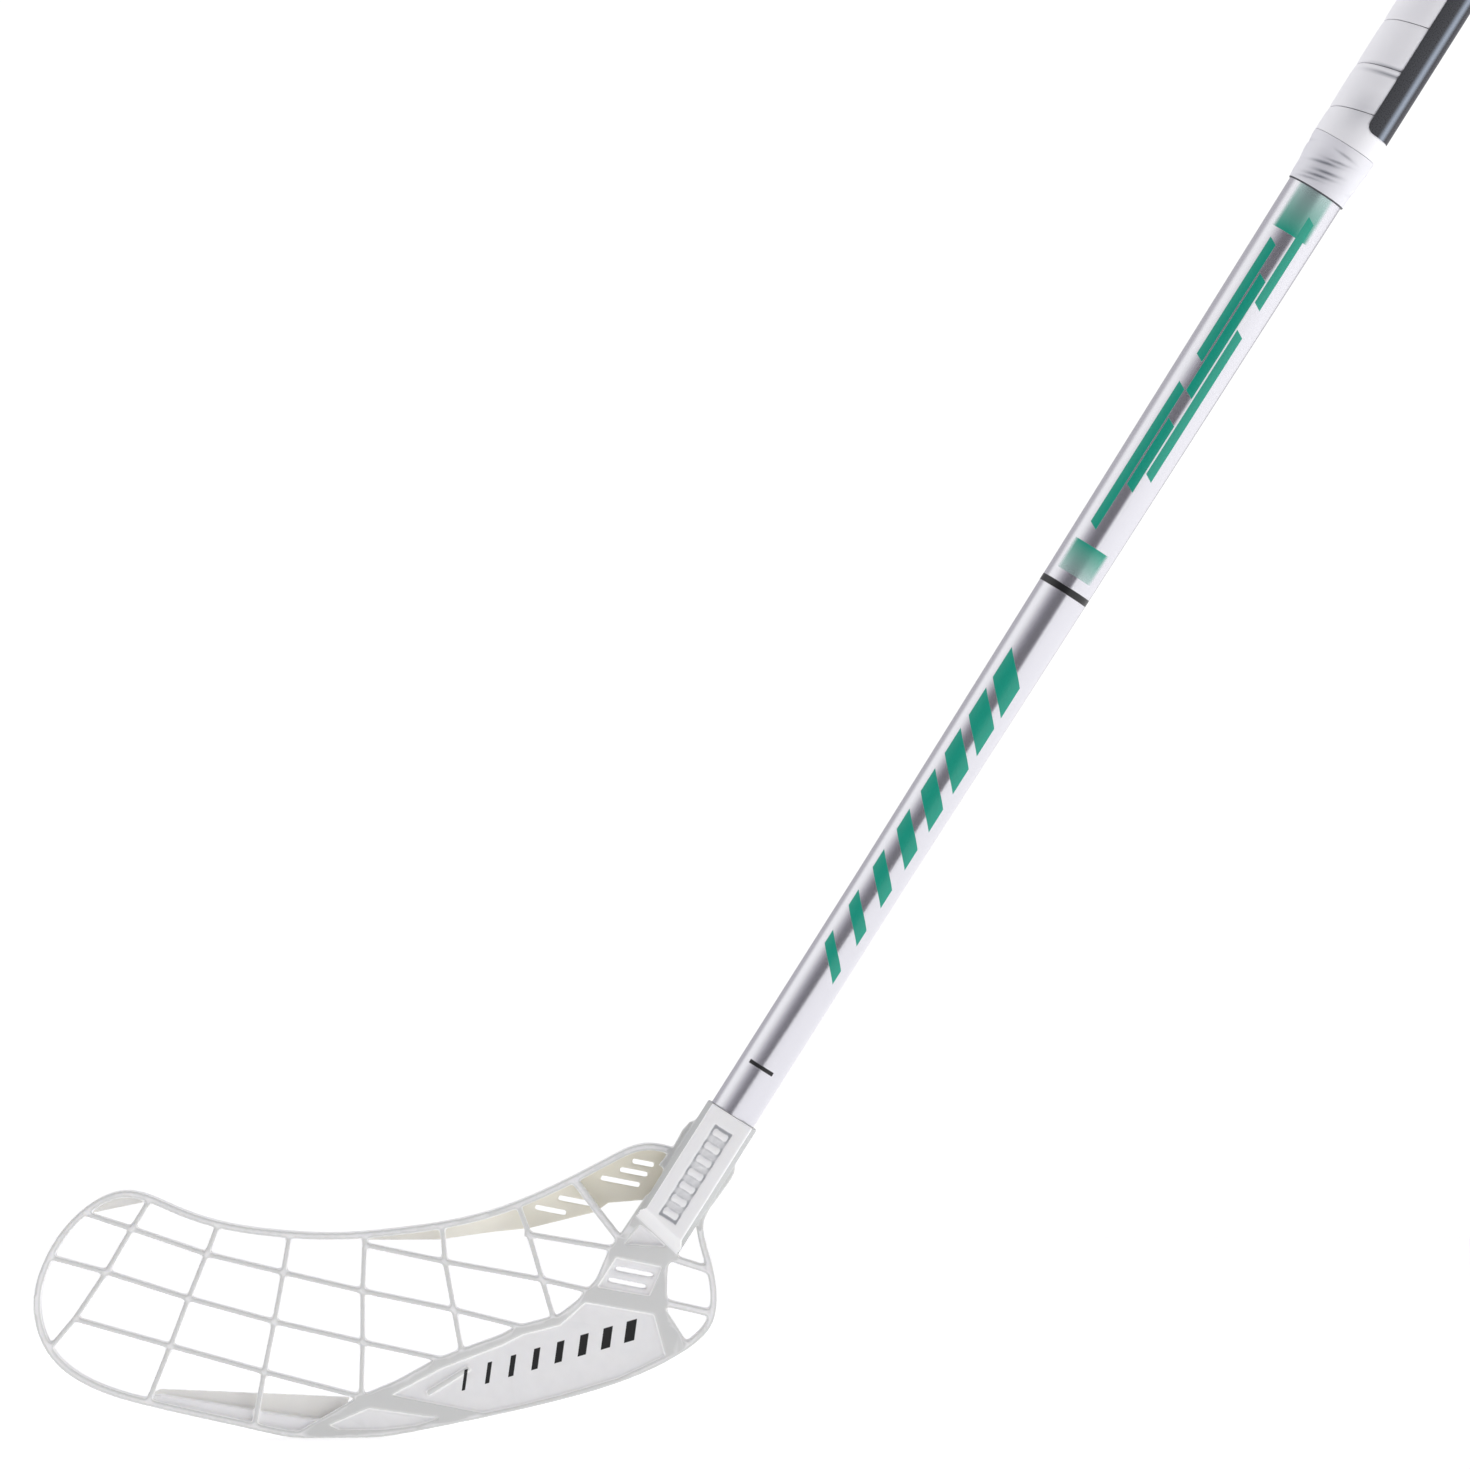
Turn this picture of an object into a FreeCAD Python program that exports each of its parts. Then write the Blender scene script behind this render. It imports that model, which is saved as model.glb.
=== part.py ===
import FreeCAD, Part
import math
import os
import Sketcher
from FreeCAD import Placement, Rotation, Vector

# Driving sizes in millimetres and degrees: alias, value and meaning.
SIZES = (
    ("blade_length", 295.2, "blade from toe to heel"),
    ("blade_height", 107.8, "crown of the toe above the sole"),
    ("blade_offset", -0.5, "hitting face behind the shaft axis at the heel"),
    ("hook_radius", 1000.0, "curve of the hitting face towards the toe"),
    ("rim_width", 2.8, "edge of the blade seen from the front"),
    ("rim_depth", 11.0, "edge of the blade from front to back"),
    ("rib_width", 2.0, "lattice rib seen from the front"),
    ("rib_depth", 7.0, "lattice rib from front to back"),
    ("plate_depth", 8.0, "stiffening plate from front to back"),
    ("panel_recess", 1.5, "sunk panels of the stiffening plate"),
    ("pocket_recess", 3.5, "sunk pocket under the neck"),
    ("web_thickness", 1.6, "webs at the back of the blade"),
    ("ledge_recess", 3.5, "sole ledge behind the hitting face"),
    ("slot_height", 2.2, "slots through plate and web"),
    ("lean_angle", 32.3, "shaft from the vertical"),
    ("neck_width", 24.4, "neck socket, square outside"),
    ("neck_corner", 6.4, "bevel of the neck's long edges, from front to back"),
    ("neck_bevel", 2.3, "the same bevel across, on the front"),
    ("neck_foot", 14.0, "neck below the end of the shaft"),
    ("neck_panel_width", 9.6, "sunk panel on the front of the neck"),
    ("neck_panel_recess", 0.5, "depth of that panel"),
    ("neck_bar_width", 1.8, "raised bars on that panel"),
    ("wing_depth", 5.0, "wings beside the neck from front to back"),
    ("shaft_length", 960.0, "whole tube"),
    ("shaft_insert", 51.5, "tube inside the neck"),
    ("shaft_low_diameter", 21.4, "tube above the neck"),
    ("spigot_step", 0.4, "tube ground down inside the neck"),
    ("shoulder_gap", 0.4, "glue line between the neck's mouth and the tube's shoulder"),
    ("shaft_top_diameter", 26.0, "tube under the grip"),
    ("shaft_wall", 1.5, "tube wall"),
    ("straight_length", 120.0, "tube above the neck before it widens"),
    ("taper_length", 354.0, "widening stretch of the tube"),
    ("glue_thickness", 0.15, "hot-melt film round the tube"),
    ("slip", 0.05, "clearance between bonded or wound layers"),
    ("tape_length", 24.0, "finishing tape of the grip"),
    ("tape_thickness", 0.6, "finishing tape of the grip"),
    ("adhesive_thickness", 0.15, "backing of the grip band"),
    ("band_width", 21.0, "wound grip band along the shaft"),
    ("band_thickness", 1.7, "wound grip band"),
    ("band_gap", 0.6, "least seam between turns of the band"),
    ("label_start", 10.0, "label above the finishing tape"),
    ("label_length", 120.0, "label along the shaft"),
    ("label_thickness", 0.3, "label"),
    ("label_angle", 130.0, "label round the grip"),
    ("label_turn", 13.0, "label's first edge from the front"),
    ("plug_flange", 4.0, "head of the butt plug along the shaft"),
    ("plug_overhang", 2.4, "head of the butt plug beyond the tube"),
    ("plug_dome", 2.5, "rounding of the butt plug's head"),
    ("plug_shank", 28.0, "butt plug inside the tube"),
    ("plug_slip", 0.08, "clearance of the plug in the tube"),
    ("screw_diameter", 2.9, "neck screw"),
    ("screw_length", 5.5, "neck screw under its head"),
    ("screw_head_diameter", 5.6, "neck screw head"),
    ("screw_head_height", 1.8, "neck screw head"),
    ("screw_drop", 16.0, "neck screw below the mouth of the neck"),
    ("screw_slip", 0.08, "clearance round the screw"),
)

# The blade drawing: points (along, up) in millimetres on a blade of this length and height, from
# the middle of the sole. The set length and height stretch it.
DRAWN_LENGTH = 295.2
DRAWN_HEIGHT = 107.8

# Outer edge, from the heel end of the flat sole round heel, top and toe.
OUTLINE = (
    (20, 0), (42.6, 2.9), (64.3, 7.2), (103.5, 16.1), (129.6, 23.9), (157, 37), (169.5, 49), (171.7, 62),
    (168.2, 80), (166, 92.6), (168.5, 104), (163, 119), (150, 126.4), (138.3, 127.2),
    (126, 122.2), (103.5, 110.6), (68.7, 97), (33.9, 90.9), (8, 88.8), (-18, 90), (-43.5, 94),
    (-64, 101.2), (-84.3, 107.8), (-103, 99.6), (-117.4, 81.3), (-123.5, 61), (-115.7, 35.6),
    (-98, 22.4), (-74.8, 14.6), (-47, 7.9), (-27, 3.2), (-8, 0),
)
OUTLINE_STEP_COUNT = 96
OUTLINE_STRETCH_COUNT = 12

# Lattice ribs that fan out from the sole.
UPRIGHT_RIBS = (
    ((-72, 107), (-81.7, 91.3), (-92.6, 72.6), (-106.1, 52.6), (-120, 36)),
    ((-43, 97), (-49.6, 80), (-57.4, 60.9), (-65.2, 40.4), (-76.5, 12)),
    ((-13.2, 92), (-16.5, 71.7), (-20.4, 50.4), (-24.8, 28.7), (-30, 0)),
    ((18.9, 92), (17.8, 63.5), (17.8, 41.3), (17, 15)),
    ((52, 96), (53.5, 76.1), (57.4, 55.2), (60.8, 36)),
    ((83.5, 106), (90, 87.8), (95.7, 68.3), (101, 50)),
)

# Lattice ribs that fall gently from toe to heel.
CROSS_RIBS = (
    ((-104, 99), (-81.7, 91.3), (-49.6, 80), (-16.5, 71.7), (17.8, 63.5), (57.4, 55.2), (88, 47.5)),
    ((-122, 81), (-92.6, 72.6), (-57.4, 60.9), (-20.4, 50.4), (17.8, 41.3), (53, 33.5)),
    ((-106.1, 52.6), (-65.2, 40.4), (-24.8, 28.7), (19, 17)),
    ((18.5, 83.6), (53.5, 76.1), (95.7, 68.3), (116, 63.5)),
    ((88, 88.3), (127, 81.7)),
)

# Heavier struts: top corner to plate, and plate to heel.
STRUTS = (
    ((108, 114), (119.5, 98.5), (130, 85)),
    ((152, 77.7), (172, 71.2)),
    ((146, 59), (174, 52.6)),
    ((148.5, 54), (160, 36)),
)
STRUT_SHARE = 1.5

# Stiffening plate from the sole up to the neck, cut off at the outer edge.
PLATE = (
    (-9, 3.2), (16.5, 17.8), (32.2, 24.4), (50.4, 34.3), (77.4, 44.2), (86, 48.6), (102.6, 52.8),
    (110.4, 58.7), (119.1, 68.3), (124.3, 80.4), (128.7, 86.5), (141, 105), (160, 100),
    (153.9, 78.7), (150.4, 74.3), (149.6, 52.6), (157, 40), (152, 15), (64, -10), (-9, -10),
)
MAIN_PANEL = (
    (30, 18.3), (52, 30), (78.5, 40.2), (87, 44.6), (103.5, 48.8), (114.5, 58.6), (144.5, 53.4),
    (149.5, 35.3), (129.2, 25.6), (103.2, 17.9), (84, 13.2), (70, 10.3),
)
SOLE_PANEL = ((3, 5.4), (20.4, 12.8), (52, 8.2), (40, 4.8), (26, 3.2), (8, 3.2))
SLOT_PANEL = ((127.8, 78.2), (119.4, 65), (142.5, 61), (148.2, 74))
NECK_POCKET = ((138.3, 92.6), (153.5, 82.4), (131.3, 83.6))
TIP_RIB = ((46, 19), (64, 30))

# Webs across the back of the blade, cut off at the outer edge.
TOP_WEB = (
    (5, 86.5), (20, 85.4), (51.3, 85.4), (72.2, 88.4), (90, 90.3), (119, 97.4), (124.3, 101.3),
    (145, 103), (160, 130), (60, 135), (5, 100),
)
TOE_WEB = ((-104, 97), (-86, 100.6), (-73.5, 103), (-68, 112), (-104, 112))
SOLE_WEB = ((-84, 14), (-70, 21.3), (12, 17), (4, -5), (-84, -5))
SOLE_LEDGE = ((-84, 15.5), (-69.6, 19), (-29.6, 11.9), (-7, 8), (2, 7), (6, -5), (-84, -5))

# How far each layer of the blade roots into the edge, as shares of the edge's width.
RIB_ROOT_SHARE = 0.5
PLATE_ROOT_SHARE = 0.7
WEB_ROOT_SHARE = 0.4
LEDGE_ROOT_SHARE = 0.6

# Slots: middle of each and its length. They fall towards the heel.
PLATE_SLOTS = (((135.7, 71.7), 17.7), ((132.6, 66.7), 17.7))
WEB_SLOTS = (
    ((139.6, 118.7), 9.6), ((135.4, 114.8), 12.2), ((129.6, 110.7), 17.2),
    ((110.2, 102.2), 15.4), ((99.3, 98.2), 13.8),
)
SLOT_FALL = -11.0

# End of the shaft in the drawing, and the hook's start there.
NECK_FOOT = (151.0, 96.5)
HOOK_START = 100.0

# Wings beside the neck: reach beyond its side and drop below its mouth.
LEFT_WING = ((-1.7, 9), (1.9, 12.5), (2.7, 17.5), (2.1, 26.5), (3.2, 35.5), (-4.7, 35.5), (-4.7, 9))
RIGHT_WING = (
    (-0.5, 16), (1.9, 20.5), (2.2, 24.5), (1.7, 33), (1.2, 40.2), (1.9, 45.7), (-4.7, 50.5),
    (-4.7, 16),
)

# Lower end of the neck: slopes across and from front to back, and where it starts.
NECK_CUT_START = -4.4
NECK_CUT_ACROSS = -0.2
NECK_CUT_BACK = -0.53
NECK_PANEL_ENDS = (6.5, 53.5)
NECK_BARS = 7

# The front of the shaft in its own frame, in degrees from its X axis.
SHAFT_FRONT = -90.0

# Quarter turns of the wound band follow pairs of arcs.
BAND_STEP = math.pi / 2
GAP_SAMPLES = 48

doc = FreeCAD.newDocument("floorball_stick")
sheet = doc.addObject("Spreadsheet::Sheet", "Sizes")
for row, (alias, value, meaning) in enumerate(SIZES, start=1):
    sheet.set(f"A{row}", meaning)
    sheet.set(f"B{row}", str(value))
    sheet.setAlias(f"B{row}", alias)
doc.recompute()


def size(alias):
    """Value of one driving size."""
    return float(sheet.get(alias))


# Sums of driving sizes: a dictionary of alias and factor.

def total(terms):
    """Value of a sum of sizes."""
    return sum(factor * size(alias) for alias, factor in terms.items())


def formula(terms):
    """The same sum as an expression of the sheet."""
    return " + ".join(f"({factor}) * Sizes.{alias}" for alias, factor in terms.items())


def added(*sums):
    """One sum from several."""
    result = {}
    for terms in sums:
        for alias, factor in terms.items():
            result[alias] = result.get(alias, 0) + factor
    return result


# The shaft axis: its foot is the lower end of the tube.

def drawn(along, up):
    """Point of the blade drawing on the blade as it is set."""
    across_scale = size("blade_length") / DRAWN_LENGTH
    up_scale = size("blade_height") / DRAWN_HEIGHT
    return Vector(along * across_scale, 0, up * up_scale)


def shaft_axis():
    """Placement whose Z runs up the shaft from its lower end."""
    return Placement(drawn(*NECK_FOOT), Rotation(Vector(0, 1, 0), size("lean_angle")))


def bind_to_shaft(part):
    """Stand a piece on the shaft axis and keep it there."""
    part.Placement = shaft_axis()
    part.setExpression(".Placement.Base.x", f"{NECK_FOOT[0] / DRAWN_LENGTH} * Sizes.blade_length")
    part.setExpression(".Placement.Base.z", f"{NECK_FOOT[1] / DRAWN_HEIGHT} * Sizes.blade_height")
    part.setExpression(".Placement.Rotation.Angle", "Sizes.lean_angle")


# Turned pieces: a profile of sums (radius, height) revolved round the shaft axis.

def origin_plane(body, role):
    """One of a body's own origin planes."""
    return next(item for item in body.Origin.OriginFeatures if item.Role == role)


def attached_sketch(body, name, role):
    """Empty sketch on an origin plane of a body."""
    sketch = body.newObject("Sketcher::SketchObject", name)
    sketch.AttachmentSupport = [(origin_plane(body, role), "")]
    sketch.MapMode = "FlatFace"
    return sketch


def hold_point(sketch, item, corner, terms, kind):
    """Tie one coordinate of a sketch point to a sum of sizes."""
    if not terms:
        axis = -2 if kind == "DistanceX" else -1
        sketch.addConstraint(Sketcher.Constraint("PointOnObject", item, corner, axis))
        return
    index = sketch.addConstraint(Sketcher.Constraint(kind, -1, 1, item, corner, total(terms)))
    sketch.setExpression(f"Constraints[{index}]", formula(terms))


def turned_body(label, profile):
    """Body revolved round its Z axis from corners given as sums of sizes."""
    body = doc.addObject("PartDesign::Body", label)
    body.Label = label
    sketch = attached_sketch(body, f"{label}_profile", "XZ_Plane")
    corners = [Vector(total(radius), total(height), 0) for radius, height in profile]
    count = len(corners)
    for index in range(count):
        sketch.addGeometry(Part.LineSegment(corners[index], corners[(index + 1) % count]))
    for index in range(count):
        following = (index + 1) % count
        sketch.addConstraint(Sketcher.Constraint("Coincident", index, 2, following, 1))
    for index, (radius, height) in enumerate(profile):
        hold_point(sketch, index, 1, radius, "DistanceX")
        hold_point(sketch, index, 1, height, "DistanceY")
    turning = body.newObject("PartDesign::Revolution", f"{label}_turning")
    turning.Profile = sketch
    turning.ReferenceAxis = (sketch, ["V_Axis"])
    turning.Angle = 360
    doc.recompute()
    bind_to_shaft(body)
    return body


def bore_for_screw(body):
    """Hole through the back wall of a turned body for the neck screw."""
    sketch = attached_sketch(body, f"{body.Label}_screw_circle", "XZ_Plane")
    hole = {"screw_diameter": 0.5, "screw_slip": 1}
    sketch.addGeometry(Part.Circle(Vector(0, total(SCREW_HEIGHT), 0), Vector(0, 0, 1), total(hole)))
    hold_point(sketch, 0, 3, {}, "DistanceX")
    hold_point(sketch, 0, 3, SCREW_HEIGHT, "DistanceY")
    index = sketch.addConstraint(Sketcher.Constraint("Radius", 0, total(hole)))
    sketch.setExpression(f"Constraints[{index}]", formula(hole))
    before = body.Shape.Volume
    pocket = body.newObject("PartDesign::Pocket", f"{body.Label}_screw_hole")
    pocket.Profile = sketch
    pocket.Type = "ThroughAll"
    doc.recompute()
    if body.Shape.Solids[0].CenterOfMass.y >= 0:
        raise RuntimeError(f"{body.Label} has no screw hole in its back wall")
    print(body.Label, "screw hole takes", round(before - body.Shape.Volume, 2), "mm3 from the back wall")


LOW_RADIUS = {"shaft_low_diameter": 0.5}
SPIGOT_RADIUS = added(LOW_RADIUS, {"spigot_step": -1})
TOP_RADIUS = {"shaft_top_diameter": 0.5}
WALL_INWARD = {"shaft_wall": -1}
MOUTH = {"shaft_insert": 1}
SHOULDER = {"shaft_insert": 1, "shoulder_gap": 1}
SCREW_HEIGHT = {"shaft_insert": 1, "screw_drop": -1}
TAPER_START = {"shaft_insert": 1, "straight_length": 1}
TAPER_END = added(TAPER_START, {"taper_length": 1})
SHAFT_END = {"shaft_length": 1}
TAPE_END = added(TAPER_END, {"tape_length": 1})
BAND_START = added(TAPE_END, {"band_gap": 1})
BAND_END = added(SHAFT_END, {"band_gap": -1})
GLUE_INSIDE = added(SPIGOT_RADIUS, {"slip": 1})
GLUE_OUTSIDE = added(GLUE_INSIDE, {"glue_thickness": 1})
NECK_BORE = added(GLUE_OUTSIDE, {"slip": 1})
TAPE_INSIDE = added(TOP_RADIUS, {"slip": 1})
TAPE_OUTSIDE = added(TAPE_INSIDE, {"tape_thickness": 1})
ADHESIVE_OUTSIDE = added(TAPE_INSIDE, {"adhesive_thickness": 1})
BAND_INSIDE = added(ADHESIVE_OUTSIDE, {"slip": 1})
BAND_OUTSIDE = added(BAND_INSIDE, {"band_thickness": 1})
LABEL_INSIDE = added(BAND_OUTSIDE, {"slip": 1})


def sleeve_profile(inside, outside, low, high):
    """Profile of a plain sleeve."""
    return ((inside, low), (outside, low), (outside, high), (inside, high))


def make_shaft_tube():
    """Hollow tube: ground down in the neck, straight above it, widening, straight under the grip."""
    profile = (
        (added(LOW_RADIUS, WALL_INWARD), {}),
        (SPIGOT_RADIUS, {}),
        (SPIGOT_RADIUS, SHOULDER),
        (LOW_RADIUS, SHOULDER),
        (LOW_RADIUS, TAPER_START),
        (TOP_RADIUS, TAPER_END),
        (TOP_RADIUS, SHAFT_END),
        (added(TOP_RADIUS, WALL_INWARD), SHAFT_END),
        (added(TOP_RADIUS, WALL_INWARD), TAPER_END),
        (added(LOW_RADIUS, WALL_INWARD), TAPER_START),
    )
    body = turned_body("shaft_tube", profile)
    bore_for_screw(body)
    return body


def make_blade_glue():
    """Hot-melt film round the inserted end of the tube."""
    body = turned_body("blade_glue", sleeve_profile(GLUE_INSIDE, GLUE_OUTSIDE, {}, MOUTH))
    bore_for_screw(body)
    return body


def make_butt_plug():
    """Plug with a domed head that sits on the end of the tube."""
    shank = added(TOP_RADIUS, WALL_INWARD, {"plug_slip": -1})
    head = added(TOP_RADIUS, {"plug_overhang": 1})
    head_top = added(SHAFT_END, {"plug_flange": 1})
    shank_end = added(SHAFT_END, {"plug_shank": -1})
    profile = (
        ({}, shank_end),
        (shank, shank_end),
        (shank, SHAFT_END),
        (head, SHAFT_END),
        (head, head_top),
        ({}, head_top),
    )
    body = turned_body("butt_plug", profile)
    turning = body.Tip
    rim = [
        f"Edge{number}"
        for number, edge in enumerate(turning.Shape.Edges, start=1)
        if edge.BoundBox.ZMin > total(head_top) - size("plug_flange") / 2
        and edge.BoundBox.XLength > 2 * total(head) - size("plug_overhang")
    ]
    dome = body.newObject("PartDesign::Fillet", "butt_plug_dome")
    dome.Base = (turning, rim)
    dome.setExpression("Radius", "Sizes.plug_dome")
    doc.recompute()
    return body


# Pieces made of Part primitives: each is placed and sized by sums of sizes.

def part_solid(kind, name, rotation, base, **bindings):
    """Part primitive with a turn, a corner or centre and its own properties."""
    solid = doc.addObject(kind, name)
    solid.Placement.Rotation = rotation
    for axis, terms in zip("xyz", base):
        if terms:
            solid.setExpression(f".Placement.Base.{axis}", formula(terms))
    for prop, terms in bindings.items():
        setattr(solid, prop, total(terms))
        solid.setExpression(prop, formula(terms))
    return solid


def make_neck_screw():
    """Pan-head screw with a cross in its head, from the back of the neck towards the shaft axis."""
    backward = Rotation(Vector(1, 0, 0), -90)
    seat = {"neck_width": 0.5}
    shank_end = added(seat, {"screw_length": -1, "screw_diameter": 0.5})
    point_end = added(seat, {"screw_length": -1})
    radius = {"screw_diameter": 0.5}
    tip = {"screw_diameter": 0.1}
    head = part_solid("Part::Cylinder", "screw_head", backward, ({}, seat, SCREW_HEIGHT),
                      Radius={"screw_head_diameter": 0.5}, Height={"screw_head_height": 1})
    shank = part_solid("Part::Cylinder", "screw_shank", backward, ({}, shank_end, SCREW_HEIGHT),
                       Radius=radius, Height={"screw_length": 1, "screw_diameter": -0.5})
    point = part_solid("Part::Cone", "screw_point", backward, ({}, point_end, SCREW_HEIGHT),
                       Radius1=tip, Radius2=radius, Height={"screw_diameter": 0.5})
    cross_floor = added(seat, {"screw_head_height": 0.5})
    cross_depth = {"screw_head_height": 0.6}
    arms = []
    for name, across, along in (("screw_cross_arm", 0.6, 0.14), ("screw_cross_bar", 0.14, 0.6)):
        corner = (
            {"screw_head_diameter": -across / 2},
            cross_floor,
            added(SCREW_HEIGHT, {"screw_head_diameter": along / 2}),
        )
        arm = part_solid("Part::Box", name, backward, corner, Height=cross_depth,
                         Length={"screw_head_diameter": across}, Width={"screw_head_diameter": along})
        arms.append(arm)
    solid = doc.addObject("Part::MultiFuse", "screw_solid")
    solid.Shapes = [head, shank, point]
    cross = doc.addObject("Part::MultiFuse", "screw_cross")
    cross.Shapes = arms
    screw = doc.addObject("Part::Cut", "neck_screw")
    screw.Label = "neck_screw"
    screw.Base = solid
    screw.Tool = cross
    doc.recompute()
    bind_to_shaft(screw)
    return screw


def make_grip_label():
    """Curved label on the right of the grip."""
    upright = Rotation(Vector(0, 0, 1), size("label_turn") + SHAFT_FRONT)
    foot = ({}, {}, added(TAPE_END, {"label_start": 1}))
    height = {"label_length": 1}
    ring = part_solid("Part::Cylinder", "label_ring", upright, foot, Height=height,
                      Radius=added(LABEL_INSIDE, {"label_thickness": 1}), Angle={"label_angle": 1})
    ring.setExpression(".Placement.Rotation.Angle", f"Sizes.label_turn + ({SHAFT_FRONT})")
    core = part_solid("Part::Cylinder", "label_core", Rotation(), foot, Height=height, Radius=LABEL_INSIDE)
    label = doc.addObject("Part::Cut", "grip_label")
    label.Label = "grip_label"
    label.Base = ring
    label.Tool = core
    doc.recompute()
    bind_to_shaft(label)
    return label


# The grip band: a flat strip carried up a helix by pairs of arcs.

def helix_point(radius, rise, low, angle):
    """Point of the helix at an angle."""
    return Vector(radius * math.cos(angle), radius * math.sin(angle), low + rise * angle)


def helix_tangent(radius, rise, angle):
    """Direction of the helix at an angle."""
    return Vector(-radius * math.sin(angle), radius * math.cos(angle), rise).normalize()


def tangent_arc(start, corner, end):
    """Arc between two points whose end tangents meet in a corner."""
    middle = (start + end) * 0.5
    weight = (middle - start).Length / (corner - start).Length
    crown = (start + corner * (2 * weight) + end) * (1 / (2 + 2 * weight))
    return Part.Arc(start, crown, end).toShape()


def arc_pair(start, leaving, end, arriving):
    """Two arcs that leave and arrive in given directions and meet smoothly."""
    span = end - start
    both = leaving + arriving
    turn = 2 * (1 - leaving.dot(arriving))
    reach = (math.sqrt(span.dot(both) ** 2 + turn * span.dot(span)) - span.dot(both)) / turn
    first = start + leaving * reach
    second = end - arriving * reach
    joint = (first + second) * 0.5
    return [tangent_arc(start, first, joint), tangent_arc(joint, second, end)]


def make_grip_band():
    """One strip wound from the finishing tape to the butt plug."""
    width = size("band_width")
    inside = total(BAND_INSIDE)
    outside = total(BAND_OUTSIDE)
    radius = (inside + outside) / 2
    low = total(BAND_START) + width / 2
    high = total(BAND_END) - width / 2
    least_pitch = width + size("band_gap")
    turns = int(2 * (high - low) / least_pitch) / 2
    pitch = (high - low) / turns
    rise = pitch / (2 * math.pi)
    edges = []
    for step in range(round(turns * 2 * math.pi / BAND_STEP)):
        begin = BAND_STEP * step
        finish = begin + BAND_STEP
        edges += arc_pair(
            helix_point(radius, rise, low, begin), helix_tangent(radius, rise, begin),
            helix_point(radius, rise, low, finish), helix_tangent(radius, rise, finish),
        )
    corners = [
        Vector(inside, 0, low - width / 2), Vector(outside, 0, low - width / 2),
        Vector(outside, 0, low + width / 2), Vector(inside, 0, low + width / 2),
    ]
    section = Part.makePolygon(corners + corners[:1])
    shell = Part.BRepOffsetAPI.MakePipeShell(Part.Wire(edges))
    shell.setBiNormalMode(Vector(0, 0, 1))
    shell.add(section)
    shell.build()
    shell.makeSolid()
    band = doc.addObject("Part::Feature", "grip_band")
    band.Label = "grip_band"
    band.Shape = shell.shape()
    band.Placement = shaft_axis()
    lower_edge = [
        helix_point(outside, rise, low - width / 2 + pitch, 2 * math.pi * step / GAP_SAMPLES)
        for step in range(GAP_SAMPLES)
    ]
    upper_edge = [
        helix_point(outside, rise, low + width / 2, 2 * math.pi * step / GAP_SAMPLES)
        for step in range(GAP_SAMPLES)
    ]
    least_gap = min((one - other).Length for one in lower_edge for other in upper_edge)
    print("grip band:", turns, "turns, least gap to itself", round(least_gap, 2), "mm")
    return band


# The blade: flat patterns of the drawing, each cut from a hooked slab between two depths.

def drawn_face(points):
    """Flat face with straight sides through points of the drawing."""
    corners = [drawn(*point) for point in points]
    return Part.Face(Part.makePolygon(corners + corners[:1]))


def strip(points, width):
    """Flat band of even width along a line of the drawing."""
    line = [drawn(*point) for point in points]
    left = []
    right = []
    for index, point in enumerate(line):
        before = line[max(index - 1, 0)]
        after = line[min(index + 1, len(line) - 1)]
        heading = (after - before).normalize()
        side = Vector(-heading.z, 0, heading.x) * (width / 2)
        left.append(point + side)
        right.append(point - side)
    loop = left + right[::-1]
    return Part.Face(Part.makePolygon(loop + loop[:1]))


def level_ended_curve(points):
    """Smooth curve through points that leaves and meets the flat of the sole level."""
    level = Vector(1, 0, 0)
    curve = Part.BSplineCurve()
    curve.interpolate(Points=points, InitialTangent=level, FinalTangent=level, Scale=False)
    return curve


def places_on(curve, count):
    """Parameters that divide a curve into a count of even steps."""
    span = curve.LastParameter - curve.FirstParameter
    return [curve.FirstParameter + span * step / count for step in range(count + 1)]


def outline(inset):
    """Outer edge of the blade, drawn in by an even margin, as a chain of curves."""
    curve = level_ended_curve([drawn(*point) for point in OUTLINE])
    if inset:
        points = []
        for place in places_on(curve, OUTLINE_STEP_COUNT):
            heading = curve.tangent(place)[0]
            points.append(curve.value(place) + Vector(-heading.z, 0, heading.x) * inset)
        curve = level_ended_curve(points)
    edges = [Part.LineSegment(curve.EndPoint, curve.StartPoint).toShape()]
    ends = places_on(curve, OUTLINE_STRETCH_COUNT)
    for begin, finish in zip(ends, ends[1:]):
        stretch = curve.copy()
        stretch.segment(begin, finish)
        edges.append(stretch.toShape())
    return Part.Wire(edges)


def hooked_slab(front, back):
    """Solid between two depths behind the hitting face, curved round the hook's centre."""
    length = size("blade_length")
    start = drawn(HOOK_START, 0).x
    face_y = size("blade_offset")
    radius = size("hook_radius")
    centre = Vector(start, face_y - radius, 0)
    sweep = math.asin(length / radius)

    def at(depth, turn):
        reach = radius + depth
        return centre + Vector(-reach * math.sin(turn), reach * math.cos(turn), 0)

    far = length
    edges = [
        Part.LineSegment(Vector(far, face_y + front, 0), at(front, 0)),
        Part.Arc(at(front, 0), at(front, sweep / 2), at(front, sweep)),
        Part.LineSegment(at(front, sweep), at(back, sweep)),
        Part.Arc(at(back, sweep), at(back, sweep / 2), at(back, 0)),
        Part.LineSegment(at(back, 0), Vector(far, face_y + back, 0)),
        Part.LineSegment(Vector(far, face_y + back, 0), Vector(far, face_y + front, 0)),
    ]
    face = Part.Face(Part.Wire([edge.toShape() for edge in edges]))
    margin = size("blade_height")
    face.translate(Vector(0, 0, -margin))
    return face.extrude(Vector(0, 0, 4 * margin))


def layer(pattern, front, back):
    """Flat pattern made solid between two depths of the hooked blade."""
    reach = size("blade_length")
    prism = pattern.copy()
    prism.translate(Vector(0, -reach, 0))
    return prism.extrude(Vector(0, 2 * reach, 0)).common(hooked_slab(front, back))


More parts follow.
